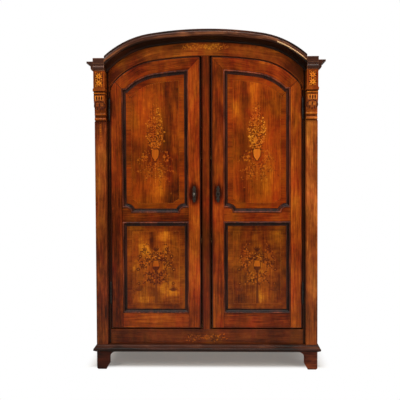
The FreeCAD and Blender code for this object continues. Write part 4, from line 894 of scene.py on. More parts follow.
# the same for boards that are there once, with one tone
CASE_MIDDLE = {
    "arched_header": ("cornice arch", frieze_veneer, case_edge, "carcass_walnut", 0.1, 0.0),
    "centre_post": ("upright", post_veneer, case_edge, "carcass_walnut", -0.02, 0.0),
    "plinth_rail": ("level", case_veneer, case_edge, "carcass_walnut", -0.02, 0.0),
    "base_moulding": ("level", base_polish, brown_edge, "ebonised_wood", -0.12, 0.0),
    "back_boards": ("upright", inner_pine, pine_edge, "inner_pine", -0.1, 0.0),
    "roof_boards": ("deep flat", inner_pine, pine_edge, "inner_pine", -0.25, 0.0),
    "bottom_board": ("level", inner_pine, pine_edge, "inner_pine", 0.0, 0.0),
    "lower_shelf": ("level", inner_pine, pine_edge, "inner_pine", 0.0, 0.0),
    "upper_shelf": ("level", inner_pine, pine_edge, "inner_pine", 0.0, 0.0),
    "shelf_cleats": ("deep", inner_pine, pine_edge, "inner_pine", -0.1, 0.0),
}
# the same for the door boards, whose dark edge finish is painted shade along the gaps round the doors
DOOR_BOARDS = {
    "door_hinge_stile": ("upright", frame_veneer, frame_shaded_edge, "carcass_walnut", (-0.14, 0.16), 0.0),
    "door_lock_stile": ("upright", frame_veneer, frame_shaded_edge, "carcass_walnut", (0.16, -0.06), 0.0),
    "door_top_rail": ("door arch", frame_veneer, frame_shaded_edge, "carcass_walnut", (-0.06, 0.04), 0.0),
    "door_mid_rail": ("level", frame_veneer, frame_shaded_edge, "carcass_walnut", (-0.22, 0.06), 0.0),
    "door_bottom_rail": ("level", frame_veneer, frame_shaded_edge, "carcass_walnut", (0.05, -0.08), 0.0),
}

for which, side in enumerate(SIDES):
    for first, width, boards in ((0, 0.0012, CASE_BOARDS), (20, 0.0016, DOOR_BOARDS)):
        for number, (board, (way, main, edge, slot, tones, fall)) in enumerate(boards.items()):
            eased(side + "_" + board, way, main, number + first + 1.5 * SIDES[side], tones[which],
                  fall, width, edge)
for number, (board, (way, main, edge, slot, tone, fall)) in enumerate(CASE_MIDDLE.items()):
    eased(board, way, main, number + 40, tone, fall, wear_and_painted_light=edge)

panel_finish = {
    ("left", "upper"): left_figure,
    ("right", "upper"): right_figure,
    ("left", "lower"): left_burr,
    ("right", "lower"): right_burr,
}
for (side, level), main in panel_finish.items():
    eased("%s_door_%s_panel" % (side, level), "upright", main,
          60 + 3 * SIDES[side] + (level == "lower"), 0.0, 0.0, 0.0008, back=case_veneer)

# ------------------------------------------------------------------- mouldings

# A thin black strip round each door's edge: painted shade that stands in for the gap round the door.
GAP_SHADE_PROFILE = [(0.0003, FACE + 0.0004), (0.0003, FACE - 0.0003), (0.0012, FACE - 0.0006),
                (0.0022, FACE - 0.0006), (0.0030, FACE - 0.0003), (0.0030, FACE + 0.0004)]
DOOR_PROFILE = (
    [(0.0, PANEL_FRONT), (0.0, FACE + 0.0006)]
    + rounded((0.0004, FACE - 0.0008), (0.0088, FACE + 0.0002), 0.0026, 9)
    + [(0.0090, FACE + 0.0018), (0.0112, FACE + 0.0018)]
    + rounded((0.0114, FACE + 0.0010), (0.0212, PANEL_FRONT - 0.0026), -0.0028, 8)
    + [(0.0216, PANEL_FRONT - 0.0034), (0.0236, PANEL_FRONT - 0.0030),
       (MOULDING_WIDTH, PANEL_FRONT - 0.0016), (MOULDING_WIDTH, PANEL_FRONT)]
)
# Tones of the door mouldings at these depths: painted highlight on the bead at the front, painted shade
# down the cove to the panel.
MOULDING_DEPTHS = (FACE - 0.0035, FACE - 0.0010, FACE + 0.0020, PANEL_FRONT)
MOULDING_HIGHLIGHT_AND_SHADE = (0.30, 0.04, -0.26, -0.20)
MOULDING_LIFT = {("right", "upper"): 0.12}
BAND_OUTER = MOULDING_WIDTH - 0.001
BAND_INNER = 0.0580
BAND_FRONT = PANEL_FRONT - 0.0003
STRING_FRONT = PANEL_FRONT - 0.0005
STRING_BACK = PANEL_FRONT + 0.0002
# The first strip, black, lies along the foot of the mouldings as painted shade; the other two are inlaid
# stringing at the crossband's inner edge.
STRINGS = (
    (BAND_OUTER, 0.0036, black_polish),
    (BAND_INNER, 0.0012, dark_inlay),
    (BAND_INNER + 0.0012, 0.0010, light_inlay),
)


def flat_band(outer, inner, front):
    """Profile of a thin strip let into a panel, between two insets."""
    return [(outer, STRING_BACK), (outer, front), (inner, front), (inner, STRING_BACK)]


for side, sign in SIDES.items():
    door = side + "_door"
    # a thin black strip round the door's edge, painted shade for the gap round the door
    ring(door + "_gap_shade_strip", door_outline, GAP_SHADE_PROFILE, sign, black_polish, door,
         seed=78 + sign, tone=-0.2)
    for level, outline in (("upper", upper_outline), ("lower", lower_outline)):
        moulding = ring("%s_%s_bolection" % (door, level), outline, DOOR_PROFILE, sign, black_polish,
                        door, seed=80 + sign)
        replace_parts(moulding, "%s_%s_moulding" % (door, level))
        tone = np.interp(corners_of(moulding.data)[:, 1], MOULDING_DEPTHS, MOULDING_HIGHLIGHT_AND_SHADE)
        set_tone(moulding.data, tone + MOULDING_LIFT.get((side, level), 0.0))
        ring("%s_%s_crossband" % (door, level), outline, flat_band(BAND_OUTER, BAND_INNER, BAND_FRONT),
             sign, cross_veneer if level == "upper" else cross_burr, door, "level",
             84 + sign)
        for number, (outer, breadth, stuff) in enumerate(STRINGS):
            ring("%s_%s_string_%d" % (door, level, number), outline,
                 flat_band(outer, outer + breadth, STRING_FRONT), sign, stuff, door,
                 "upright", 86 + sign)


def cornice_line(inset, across):
    """Height of the cornice's arch, moved down by inset, at distances from the middle.

    Over the crown z = centre + root(R*R - x*x), and past the tangent point the haunch's own circle.
    """
    x = np.abs(across)
    crown = CORNICE_CROWN_RADIUS - inset
    haunch = CORNICE_HAUNCH_RADIUS - inset
    direction = CORNICE_HAUNCH_CENTRE - CORNICE_CROWN_CENTRE
    tangent = crown * direction[0] / np.linalg.norm(direction)
    on_crown = CORNICE_CROWN_CENTRE[1] + np.sqrt(crown ** 2 - np.minimum(x, tangent) ** 2)
    reach = np.clip(x - CORNICE_HAUNCH_CENTRE[0], 0, haunch - 0.001)
    on_haunch = CORNICE_HAUNCH_CENTRE[1] + np.sqrt(haunch ** 2 - reach ** 2)
    return np.where(x < tangent, on_crown, on_haunch)


FILLET_QUIRK = 0.0105
FILLET_FOOT = 0.0118
FASCIA_FOOT = 0.029
COVE_HEAD = 0.038
COVE_MIDDLE = 0.045
# middle of the painted light in the cove at the left shoulder
LIT_SHOULDER = -0.50
# a hair under a quarter turn, which keeps the last steps at the capitals apart
QUARTER = np.pi / 2 * 0.999
ARCH_STEPS = 121


def cornice_shade_and_wear(place):
    """Tone of the cornice's polish, from how far a point lies below the top line of the arch.

    It is lighter below the fillet and along the foot of the fascia, where the bead is worn and carries a
    painted highlight; painted shade darkens the quirk and the cove, and painted light lifts the cove at
    the left shoulder.
    """
    down = cornice_line(0.0, place[:, 0]) - place[:, 2]
    wear_and_painted_light = np.exp(-((down - FASCIA_FOOT) / 0.004) ** 2)
    shaded = np.clip((down - COVE_HEAD) / 0.004, 0, 1)
    tone = 0.02 + 0.22 * (down > FILLET_FOOT) - 0.75 * shaded + 0.15 * wear_and_painted_light
    tone -= 0.45 * np.exp(-((down - FILLET_QUIRK) / 0.0012) ** 2)
    return tone + 0.50 * np.exp(-((place[:, 0] - LIT_SHOULDER) / 0.13) ** 2) * (down > COVE_MIDDLE)


def carried_over_arch(name, profile, material, body, seed, span=(-1.0, 1.0)):
    """A run of the cornice: each pair of inset and depth gives one line over the arch.

    Its points lie at the half width times the sine of a quarter turn times the share, so that they
    crowd towards the capitals. The run covers the given span of shares.
    """
    share = np.linspace(span[0], span[1], ARCH_STEPS)
    across = CORNICE_END * np.sin(share * QUARTER) / math.sin(QUARTER)
    points = np.array([np.stack([across, np.full(len(across), depth), cornice_line(inset, across)], -1)
                       for inset, depth in profile])
    count, length = points.shape[:2]
    faces = grid_faces(count, length, True, False).tolist()
    faces += [[row * length for row in range(count)], [row * length + length - 1 for row in range(count)]]
    piece = outward(new_piece(name, points, faces, material, body))
    dress(piece.data, "cornice arch", seed)
    set_tone(piece.data, cornice_shade_and_wear(corners_of(piece.data)))
    return piece


CORNICE_PROFILE = (
    [(0.0, FACE), (0.0, FACE - 0.0885), (0.0015, FACE - 0.0900), (0.0085, FACE - 0.0900)]
    + [(0.0095, FACE - 0.0886), (0.0112, FACE - 0.0882)]
    + rounded((0.0122, FACE - 0.0884), (0.0296, FACE - 0.0868), 0.0022, 8)
    + [(0.0305, FACE - 0.0830), (0.0318, FACE - 0.0826), (0.0390, FACE - 0.0822), (0.0400, FACE - 0.0745)]
    + rounded((0.0408, FACE - 0.0735), (0.0640, FACE - 0.0125), -0.0115, 14)
    + rounded((0.0646, FACE - 0.0105), (0.0670, FACE - 0.0078), 0.0012, 4)
    + [(0.0670, FACE)]
)
cornice = carried_over_arch("arched_cornice_run", CORNICE_PROFILE, brown_polish, "case",
                            90)
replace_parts(cornice, "arched_cornice")
WORN_PROFILE = [(0.0250, FACE - 0.0860), (0.0250, FACE - 0.0892), (0.0298, FACE - 0.0875),
                (0.0320, FACE - 0.0838), (0.0320, FACE - 0.0820)]
WORN_SPAN = (0.50, 0.92)
carried_over_arch("cornice_worn_edge", WORN_PROFILE, bare_wood, "case", 91, WORN_SPAN)

# ------------------------------------------------------------------- hinges, locks and key

FINIAL = [(0.0002, 0.0090), (0.0014, 0.0088), (0.0026, 0.0080), (0.0032, 0.0066), (0.0029, 0.0052),
          (0.0021, 0.0042), (0.0019, 0.0034), (0.0034, 0.0030), (0.0044, 0.0018), (0.0046, 0.0008),
          (0.0040, 0.0001)]
BARREL = [(0.0058, 0.0), (0.0065, -0.0007), (0.0065, -0.0022), (0.0059, -0.0029), (0.0062, -0.0036),
          (0.0062, -0.0290), (0.0062, -0.0540), (0.0059, -0.0548), (0.0065, -0.0556), (0.0065, -0.0608),
          (0.0060, -0.0616)]
LEAF_SPAN = (0.0052, 0.0570)
LEAF_DEPTH = (HINGE_Y + 0.004, HINGE_Y + 0.026)
DOOR_LEAF = (HINGE_X - 0.0020, HINGE_X - 0.0003)
CASE_LEAF = (HINGE_X + 0.0003, HINGE_X + 0.0020)


def barrel_half(upwards):
    """Half a hinge barrel with its finial, ring and collar; heights from the hinge's middle."""
    way = 1.0 if upwards else -1.0
    profile = [(radius, HINGE_HALF + height) for radius, height in FINIAL + BARREL]
    return [(radius, way * height) for radius, height in profile]


for side, sign in SIDES.items():
    for node, body, upwards in ((side + "_hinge_pins", "case", False),
                                (side + "_door_hinge_leaves", side + "_door", True)):
        shells = []
        start, end = LEAF_SPAN if upwards else (-LEAF_SPAN[1], -LEAF_SPAN[0])
        across = sorted(sign * place for place in (DOOR_LEAF if upwards else CASE_LEAF))
        for level in HINGE_LEVELS:
            shells.append(turned(barrel_half(upwards), HINGE_X * sign, HINGE_Y, level))
            shells.append(plate(across, LEAF_DEPTH, (level + start, level + end)))
        hinge = joined_shells(node + "_turned", shells, dark_iron, body)
        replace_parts(hinge, node)


PLATE_HALF = 0.050
PLATE_TIP = 0.0497
HOLE_RADIUS = 0.005
SLOT_DROP = 0.013
SLOT_HALF = 0.002
PLATE_STEPS = 192
# share of the way from the plate's edge to the keyhole, and depth there
PLATE_PROFILE = (
    (0.0, FACE), (0.0, FACE - 0.0012), (0.03, FACE - 0.0017), (0.08, FACE - 0.0013), (0.16, FACE - 0.0015),
    (0.45, FACE - 0.0019), (0.86, FACE - 0.0020), (0.97, FACE - 0.0018), (1.0, FACE - 0.0012), (1.0, FACE),
)


def escutcheon_edge(share):
    """Half width and height of the plate round its edge: a belly, a waist and a pointed lobe each end.

    The half width is the largest of a belly, root of 1 less the fourth power of the height, a lobe,
    e to the minus square, a round tip, root of 1 less the square, and a narrow waist.
    """
    angle = share * 2 * np.pi
    height = PLATE_HALF * np.sin(angle)
    up = np.abs(height)
    belly = 0.0125 * np.clip(1 - (up / 0.020) ** 4, 0, 1) ** 0.5
    lobe = 0.0118 * np.exp(-((up - 0.034) / 0.007) ** 2) * (up > 0.010)
    tip = 0.0066 * np.sqrt(np.clip(1 - ((up - 0.030) / 0.020) ** 2, 0, 1)) * (up > 0.028)
    half = np.maximum(np.maximum(belly, lobe), np.maximum(tip, 0.0068 * (up < PLATE_TIP)))
    half = np.where(up >= PLATE_TIP, 0.0008, half)
    return np.sign(np.cos(angle)) * half * np.clip(np.abs(np.cos(angle)) * 14, 0, 1), height


def keyhole_edge(share):
    """Round hole with a straight slot below it, drawn about the hole's centre.

    At each angle the distance is the hole's radius or, below, as far as the slot's side or foot lets it.
    """
    angle = share * 2 * np.pi
    down = np.maximum(-np.sin(angle), 1e-6)
    side = np.maximum(np.abs(np.cos(angle)), 1e-6)
    slot = np.where(np.sin(angle) < 0, np.minimum(SLOT_DROP / down, SLOT_HALF / side), 0.0)
    radius = np.maximum(HOLE_RADIUS, slot)
    return radius * np.cos(angle), radius * np.sin(angle)


def keyhole_plate(side, sign):
    """A pressed plate: its edge drawn in to the keyhole through the steps of its profile."""
    share = np.linspace(0, 1, PLATE_STEPS, endpoint=False)
    outer = np.stack(escutcheon_edge(share), -1)
    inner = np.stack(keyhole_edge(share), -1)
    rows = []
    for blend, depth in PLATE_PROFILE:
        flat = outer * (1 - blend) + inner * blend
        rows.append(np.stack([sign * KEY_X + flat[:, 0], np.full(len(flat), depth),
                              LOCK_HEIGHT + flat[:, 1]], -1))
    points = np.array(rows)
    faces = grid_faces(points.shape[0], points.shape[1], True, True)
    made = outward(new_piece(side + "_door_keyhole_plate", points, faces, dark_brass, side + "_door"))
    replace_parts(made, side + "_door_escutcheon")


for side, sign in SIDES.items():
    keyhole_plate(side, sign)


def tube(path, radius, normal):
    """A round bar along a path that lies square to the normal."""
    direction = np.gradient(path, axis=0)
    direction /= np.linalg.norm(direction, axis=1, keepdims=True)
    side = np.cross(direction, normal)
    angle = np.linspace(0, 2 * np.pi, BOW_TURNS, endpoint=False)
    circle = np.cos(angle)[None, :, None] * side[:, None, :]
    circle = circle + np.sin(angle)[None, :, None] * np.asarray(normal)[None, None, :]
    return path[:, None, :] + radius * circle


# depth and radius along the key's stem
KEY_STEM = [(-0.199, 0.0035), (-0.2225, 0.0035), (-0.2228, 0.0046), (-0.2252, 0.0050), (-0.2256, 0.0036),
            (-0.2300, 0.0033), (-0.2304, 0.0047), (-0.2320, 0.0050), (-0.2336, 0.0045), (-0.2340, 0.0032),
            (-0.2420, 0.0028)]
STEM_TURNS = 24
BOW_STEPS = 40
BOW_MIDDLE = FACE - 0.018 - 0.0125
BOW_REACH = (0.0100, 0.0102)
BOW_WIRE = 0.0021
BIT_HALF = 0.0012
BIT_DEPTH = (-0.207, -0.200)
BIT_DROP = 0.0085


def key_piece():
    """The key: an oval wire bow, a stem with two collars and a plain bit."""
    x = -KEY_X
    angle = np.linspace(0, 2 * np.pi, STEM_TURNS, endpoint=False)
    shaft = np.array([[(x + r * math.cos(a), y, LOCK_HEIGHT + r * math.sin(a)) for a in angle]
                      for y, r in KEY_STEM])
    turn = np.linspace(0, 2 * np.pi, BOW_STEPS + 1)[:-1]
    path = np.stack([np.full(BOW_STEPS, x), BOW_MIDDLE + BOW_REACH[0] * np.cos(turn),
                     LOCK_HEIGHT + BOW_REACH[1] * np.sin(turn)], -1)
    wrapped = np.concatenate([path[-1:], path, path[:1]])
    bow = tube(wrapped, BOW_WIRE, (1.0, 0.0, 0.0))[1:-1]
    bit = plate((x - BIT_HALF, x + BIT_HALF), BIT_DEPTH, (LOCK_HEIGHT - BIT_DROP, LOCK_HEIGHT))
    points = [shaft.reshape(-1, 3), bow.reshape(-1, 3), bit.reshape(-1, 3)]
    faces = grid_faces(len(KEY_STEM), STEM_TURNS, False, True).tolist() + caps(len(KEY_STEM), STEM_TURNS)
    first = len(points[0])
    faces += (grid_faces(BOW_STEPS, BOW_TURNS, True, True) + first).tolist()
    first += len(points[1])
    faces += [[first + index for index in face]
              for face in grid_faces(2, 4, False, True).tolist() + caps(2, 4)]
    made = outward(new_piece("key_turned", np.concatenate(points), faces, worn_steel, "key"))
    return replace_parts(made, "key")


key_piece()

for label in ("left_door_lock_case", "right_door_lock_case", "left_lock_bolt", "right_lock_bolt"):
    eased(label, "level", dark_iron, width=0.0005)

TONGUE_HALF = 0.005
TONGUE_DEPTH = (0.3105, 0.3135)
TONGUE_FOOT = 0.1605
TONGUE_HEAD_GAP = 0.004
JOINT_REACH = 0.002


def back_tongues():
    """Loose tongues that close the joints between the back boards, from their feet up to the arch."""
    points = corners_of(frame["nodes"]["back_boards"].data)
    shells = []
    for joint in np.arange(-3, 4) * BACK_BOARD_WIDTH:
        top = points[np.abs(points[:, 0] - joint) < JOINT_REACH, 2].max() - TONGUE_HEAD_GAP
        shells.append(plate((joint - TONGUE_HALF, joint + TONGUE_HALF), TONGUE_DEPTH, (TONGUE_FOOT, top)))
    piece = joined_shells("back_board_tongues", shells, inner_pine, "case")
    dress(piece.data, "upright", 95, -0.35)


back_tongues()

# ------------------------------------------------------------------- marquetry

VASE_X = PANEL_MIDDLE + 0.0005
UPPER_VASE = (VASE_X, 1.339)
LOWER_VASE = (VASE_X, 0.652)
# levels and half widths, how much taller and wider the outline is, then a handle's start, lean,
# length and curl
URN = (np.array([-38, -35, -31, -26, -18, -8, 4, 14, 22, 27, 29, 33]) * 0.001,
       np.array([8, 7.5, 5, 11, 16.5, 20, 21.5, 22, 22, 21, 17, 19]) * 0.001,
       1.10, 0.0040, (0.020, 0.026), 60, 0.044, 230)
GOBLET = (np.array([-24, -16, -6, 4, 12, 18, 21, 25]) * 0.001,
          np.array([17, 19, 19.5, 18.5, 17, 15.5, 15.5, 18]) * 0.001,
          1.14, 0.0030, (0.016, 0.017), 55, 0.050, 250)
HANDLE_WIDTH = 0.0028
LEAF_SPREAD = 55

STEM_LEANS = np.array([-22, -17, -12.5, -8.5, -4.5, -1.2, 1.2, 4.5, 8.5, 12.5, 17, 22])
LEAN_DRIFT = 1.2
PLUME_LENGTH = 0.395
PLUME_FLORETS = 44
SPRAY_FLORETS = 16
LOOSE_LEAVES = 46
DROP_LEAVES = 10
TRUNK_STEPS = 24
FRIEZE_LEVEL = 2.003
FRIEZE_SAG = 0.23
FRIEZE_LEAVES = 44
PLINTH_LEVEL = 0.193
PLINTH_LEAVES = 30
DARK_FRONT = PANEL_FRONT - 0.00025
LIGHT_FRONT = PANEL_FRONT - 0.0004
VASE_FOOT_FRONT = PANEL_FRONT - 0.0009


def vase(place, levels, widths, growth, margin, handle, lean, length, curl):
    """A vase, its dark outline and two curled handles, about a place on a panel."""
    body = shaped(levels, widths, place, 5)
    outline = shaped(levels * growth, widths + margin, place, 5)
    handles = [scroll((place[0] + way * handle[0], place[1] + handle[1]), 90 - way * lean, length,
                      -way * curl) for way in (-1, 1)]
    return body, outline, ribbons(np.array(handles), HANDLE_WIDTH)


def sprigs(lines, spacing, size):
    """Leaves along stalks: alternately left and right at even steps, smaller towards the tip.

    A leaf is the size times 1 - 0.45 of its share of the stalk, and leans off it by the spread times
    1 - 0.5 of that share.
    """
    made = []
    for line in lines:
        step = np.linalg.norm(np.diff(line, axis=0), axis=1)
        run_length = np.concatenate([[0.0], np.cumsum(step)])
        heading = np.unwrap(np.arctan2(*np.gradient(line, axis=0).T[::-1]))
        count = max(int(run_length[-1] / spacing), 3)
        share = np.linspace(0.04, 1.0, count)
        at = share * run_length[-1]
        place = np.stack([np.interp(at, run_length, line[:, axis]) for axis in (0, 1)], -1)
        hand = np.where(np.arange(count) % 2, 1.0, -1.0)
        angle = np.degrees(np.interp(at, run_length, heading)) + hand * LEAF_SPREAD * (1 - 0.5 * share)
        length = size * (1 - 0.45 * share)
        made.append(almonds(place, angle, length, length * 0.44, hand * 0.15))
    return np.concatenate(made)


def shared_out(shapes, random, light_share):
    """Parts shapes at random into light and dark veneer."""
    chosen = random.uniform(0, 1, len(shapes)) < light_share
    return shapes[chosen], shapes[~chosen]


def spots_on(lines, random, count, first, last):
    """Places picked at random on lines of points, from the first step to before the last."""
    return lines[random.integers(0, len(lines), count), random.integers(first, last, count)]


def florets(places, radius, petals, random):
    """Many small flowers of one make, each turned its own way."""
    return np.concatenate([
        flower(place, size, petals, turn)
        for place, size, turn in zip(places, radius, random.uniform(0, 72, len(places)))])


def upper_bouquet(seed, glow):
    """Vase with a tall plume of flowers over hanging scrolls, about the middle of an upper panel.

    The glow lightens the veneer of its light leaves and flowers.
    """
    random = np.random.default_rng(seed)
    x, z = UPPER_VASE
    body, rim, handles = vase((x, z), *URN)
    light = [(body, 0.04 + glow * 0.8)]
    dark = [(rim, -0.35), (handles, -0.1)]
    leans = STEM_LEANS + random.uniform(-LEAN_DRIFT, LEAN_DRIFT, len(STEM_LEANS))
    stems = np.array([scroll((x + 0.0006 * lean, z + 0.030), 90 - lean * 1.5,
                             PLUME_LENGTH - 0.0118 * abs(lean), lean * 2.2) for lean in leans])
    leaves, shade = shared_out(sprigs(stems, 0.0074, 0.0125), random, 0.55)
    light.append((leaves, glow))
    dark.append((shade, 0.0))
    light.append((ribbons(stems, 0.0008), -0.35))
    spot = spots_on(stems, random, PLUME_FLORETS, 2, 22)
    spot = spot + random.normal(0, 0.006, (PLUME_FLORETS, 2)) * (1.0, 0.6)
    size = random.uniform(0.0038, 0.0064, PLUME_FLORETS)
    light.append((florets(spot, size, 5, random), 0.14 + glow))
    dark.append((buttons(spot, size * 0.24), 0.1))
    for way in (-1, 1):
        sweeps = np.array([
            scroll((x + way * 0.030, z - 0.006), 90 - way * 96, 0.125, -way * 60),
            scroll((x + way * 0.030, z + 0.010), 90 - way * 60, 0.080, -way * 150),
            scroll((x + way * 0.032, z - 0.030), 90 - way * 112, 0.120, way * 230),
            scroll((x + way * 0.016, z - 0.040), 90 - way * 140, 0.160, way * 60),
            scroll((x + way * 0.006, z - 0.046), 90 - way * 164, 0.190, -way * 24),
            scroll((x + way * 0.018, z - 0.080), 90 - way * 130, 0.100, -way * 170),
            scroll((x + way * 0.010, z - 0.060), 90 - way * 150, 0.150, -way * 10),
        ])
        leaves, shade = shared_out(sprigs(sweeps, 0.0080, 0.0145), random, 0.55)
        light.append((leaves, -0.14 + glow * 0.8))
        dark.append((shade, 0.20))
        light.append((ribbons(sweeps, 0.0010), -0.4))
        loose = random.normal(0, 1, (LOOSE_LEAVES, 2)) * (0.026, 0.040)
        loose = np.array((x + way * 0.052, z - 0.105)) + loose
        turned_by = random.uniform(0, 360, LOOSE_LEAVES)
        petals, shade = shared_out(almonds(loose, turned_by, 0.0115, 0.0050), random, 0.6)
        light.append((petals, -0.22 + glow * 0.8))
        dark.append((shade, 0.30))
        spot = spots_on(sweeps, random, SPRAY_FLORETS, 5, 23)
        light.append((florets(spot, random.uniform(0.0045, 0.0070, SPRAY_FLORETS), 5, random), 0.0))
        dark.append((buttons(spot, 0.0016), 0.1))
        light.append((flower((x + way * 0.056, z - 0.014), 0.0105, 6, 10), 0.05))
    drop = np.array([(x, z - 0.052 - 0.014 * step) for step in range(DROP_LEAVES)])
    light.append((almonds(drop, 270, 0.013, 0.0085 - 0.0005 * np.arange(DROP_LEAVES)), 0.05))
    return light, dark


def lower_bouquet(seed, dark_share):
    """Vase on a stem with branching scrolls, about the middle of a lower panel."""
    random = np.random.default_rng(seed)
    x, z = LOWER_VASE
    body, rim, handles = vase((x, z), *GOBLET)
    light = [(body, -0.04)]
    dark = [(rim, -0.3), (handles, 0.0)]
    trunk = np.array([(x, z - 0.048 - 0.0092 * step) for step in range(TRUNK_STEPS)])
    dark.append((ribbons(trunk[None], np.linspace(0.0070, 0.0170, TRUNK_STEPS)[None]), 0.25))
    for way in (-1, 1):
        branches = np.array([
            scroll((x + way * 0.010, z + 0.022), 90 - way * 62, 0.200, way * 150),
            scroll((x + way * 0.008, z + 0.026), 90 - way * 26, 0.160, -way * 120),
            scroll((x + way * 0.030, z + 0.026), 90 - way * 86, 0.150, -way * 210),
            scroll((x + way * 0.036, z + 0.010), 90 - way * 110, 0.135, way * 170),
            scroll((x + way * 0.003, z - 0.090), 90 - way * 52, 0.185, way * 96),
            scroll((x + way * 0.003, z - 0.062), 90 - way * 72, 0.110, -way * 90),
            scroll((x + way * 0.003, z - 0.090), 90 - way * 92, 0.105, -way * 60),
            scroll((x + way * 0.003, z - 0.118), 90 - way * 76, 0.095, way * 100),
        ])
        shade, leaves = shared_out(sprigs(branches, 0.0092, 0.0185), random, dark_share)
        dark.append((shade, 0.05))
        light.append((leaves, -0.05))
        dark.append((ribbons(branches, 0.0025), -0.1))
        places = np.array([(x + way * 0.098, z + 0.052), (x + way * 0.066, z + 0.098),
                           (x + way * 0.112, z - 0.030), (x + way * 0.060, z + 0.040),
                           (x + way * 0.080, z - 0.006), (x + way * 0.108, z - 0.118)])
        size = np.array([0.012, 0.010, 0.012, 0.009, 0.009, 0.010])
        dark.append((florets(places, size, 6, random), 0.0))
        light.append((buttons(places, size * 0.3), 0.1))
        fan = almonds(np.repeat([(x + way * 0.108, z - 0.168)], 7, 0), 90 + np.linspace(-60, 60, 7),
                      0.034, 0.0065)
        dark.append((fan, 0.25))
    places = np.array([(x, z + 0.052), (x - 0.020, z + 0.042), (x + 0.020, z + 0.042),
                       (x - 0.011, z + 0.070), (x + 0.012, z + 0.072)])
    size = np.array([0.012, 0.010, 0.010, 0.009, 0.009])
    dark.append((florets(places, size, 6, random), 0.0))
    light.append((buttons(places, size * 0.35), 0.35))
    dark.append((almonds(np.repeat([(x, z + 0.080)], 5, 0), 90 + np.linspace(-40, 40, 5), 0.036, 0.007),
                 0.0))
    return light, dark


def vase_foot(place):
    """The dark lower third of a lower panel's vase."""
    return shaped([-0.050, -0.044, -0.038, -0.032, -0.022, -0.012],
                  [0.012, 0.008, 0.006, 0.014, 0.0200, 0.0215], place)


for side, sign in SIDES.items():
    door = side + "_door"
    dark_share = 0.7 if side == "left" else 0.45
    glow = 0.0 if side == "left" else 0.18
    motifs = {"upper": upper_bouquet(11 + int(sign), glow),
              "lower": lower_bouquet(31 + int(sign), dark_share)}
    for level, (light, dark) in motifs.items():
        inlay("%s_%s_dark_marquetry" % (door, level), dark, sign, DARK_FRONT, dark_inlay, door,
              seed=100 + sign)
        inlay("%s_%s_light_marquetry" % (door, level), light, sign, LIGHT_FRONT, light_inlay, door,
              seed=104 + sign)
    inlay(door + "_vase_foot", [(vase_foot(LOWER_VASE), 0.0)], sign, VASE_FOOT_FRONT, dark_inlay, door,
          seed=106 + sign)


def frieze_scrolls():
    """Three scrolls to each side of a middle flower, among scattered leaves."""
    random = np.random.default_rng(51)
    groups = []
    lines = []
    for way in (-1, 1):
        lines.append(scroll((way * 0.012, 0.0), 90 - way * 88, 0.070, way * 150))
        lines.append(scroll((way * 0.045, 0.004), 90 - way * 100, 0.075, -way * 170))
        lines.append(scroll((way * 0.082, -0.002), 90 - way * 80, 0.065, way * 140))
        spots = np.stack([way * np.linspace(0.016, 0.138, FRIEZE_LEAVES),
                          random.uniform(-0.014, 0.015, FRIEZE_LEAVES)], -1)
        size = random.uniform(0.008, 0.015, FRIEZE_LEAVES) * np.linspace(1.1, 0.6, FRIEZE_LEAVES)
        angle = 90 - way * random.uniform(20, 160, FRIEZE_LEAVES)
        groups.append((almonds(spots, angle, size, size * 0.5), 0.25))
    groups.append((ribbons(np.array(lines), 0.0024), 0.1))
    groups.append((flower((0.0, 0.0), 0.015, 6, 30), 0.25))
    return groups


def lifted(groups, level, sag):
    """Moves shapes up to a level and bows them down by sag times the square of the distance."""
    made = []
    for shapes, tone in groups:
        moved = shapes.copy()
        moved[..., 1] += level - sag * moved[..., 0] ** 2
        made.append((moved, tone))
    return made


inlay("frieze_marquetry", lifted(frieze_scrolls(), FRIEZE_LEVEL, FRIEZE_SAG), 1.0, FACE - 0.0003,
      light_inlay, "case", "level", 110)


def over_doors(radius_step, width):
    """A string along the case's arch over both doors, outside it by the step."""
    haunch = HAUNCH_RADIUS + radius_step
    low = math.degrees(math.acos((DOOR_HINGE_EDGE - HAUNCH_CENTRE[0]) / haunch))
    half = np.concatenate([arc(HAUNCH_CENTRE, haunch, low, TANGENT, 30),
                           arc(CROWN_CENTRE, CROWN_RADIUS + radius_step, TANGENT, 90, 30)[1:]])
    return ribbons(np.concatenate([half, half[-2::-1] * (-1.0, 1.0)])[None], width)


# The dark string just over the doors' arch is painted shade for the gap; the light string above it is the
# header's worn edge.
inlay("frieze_gap_shade_string", [(over_doors(0.0016, 0.0030), -0.2)], 1.0, FACE - 0.0002, dark_inlay, "case",
      "cornice arch", 112)
inlay("frieze_light_string", [(over_doors(0.0050, 0.0026), -0.42)], 1.0, FACE - 0.0002, light_inlay,
      "case", "cornice arch", 113)


def plinth_swag():
    """A flower with two short scrolls to each side, among scattered leaves."""
    random = np.random.default_rng(61)
    light = [(flower((0.0, 0.004), 0.017, 8), -0.28)]
    dark = [(buttons((0.0, 0.004), 0.005), -0.2)]
    lines = []
    for way in (-1, 1):
        lines.append(scroll((way * 0.012, 0.002), 90 - way * 80, 0.070, way * 130))
        lines.append(scroll((way * 0.030, -0.002), 90 - way * 118, 0.080, -way * 170))
        spots = np.stack([way * np.linspace(0.016, 0.122, PLINTH_LEAVES),
                          random.uniform(-0.020, 0.018, PLINTH_LEAVES)], -1)
        size = random.uniform(0.009, 0.017, PLINTH_LEAVES)
        shapes = almonds(spots, 90 - way * random.uniform(20, 160, PLINTH_LEAVES), size, size * 0.5)
        light.append((shapes[::2], -0.18))
        dark.append((shapes[1::2], 0.0))
    dark.append((ribbons(np.array(lines), 0.0024), 0.0))
    return light, dark


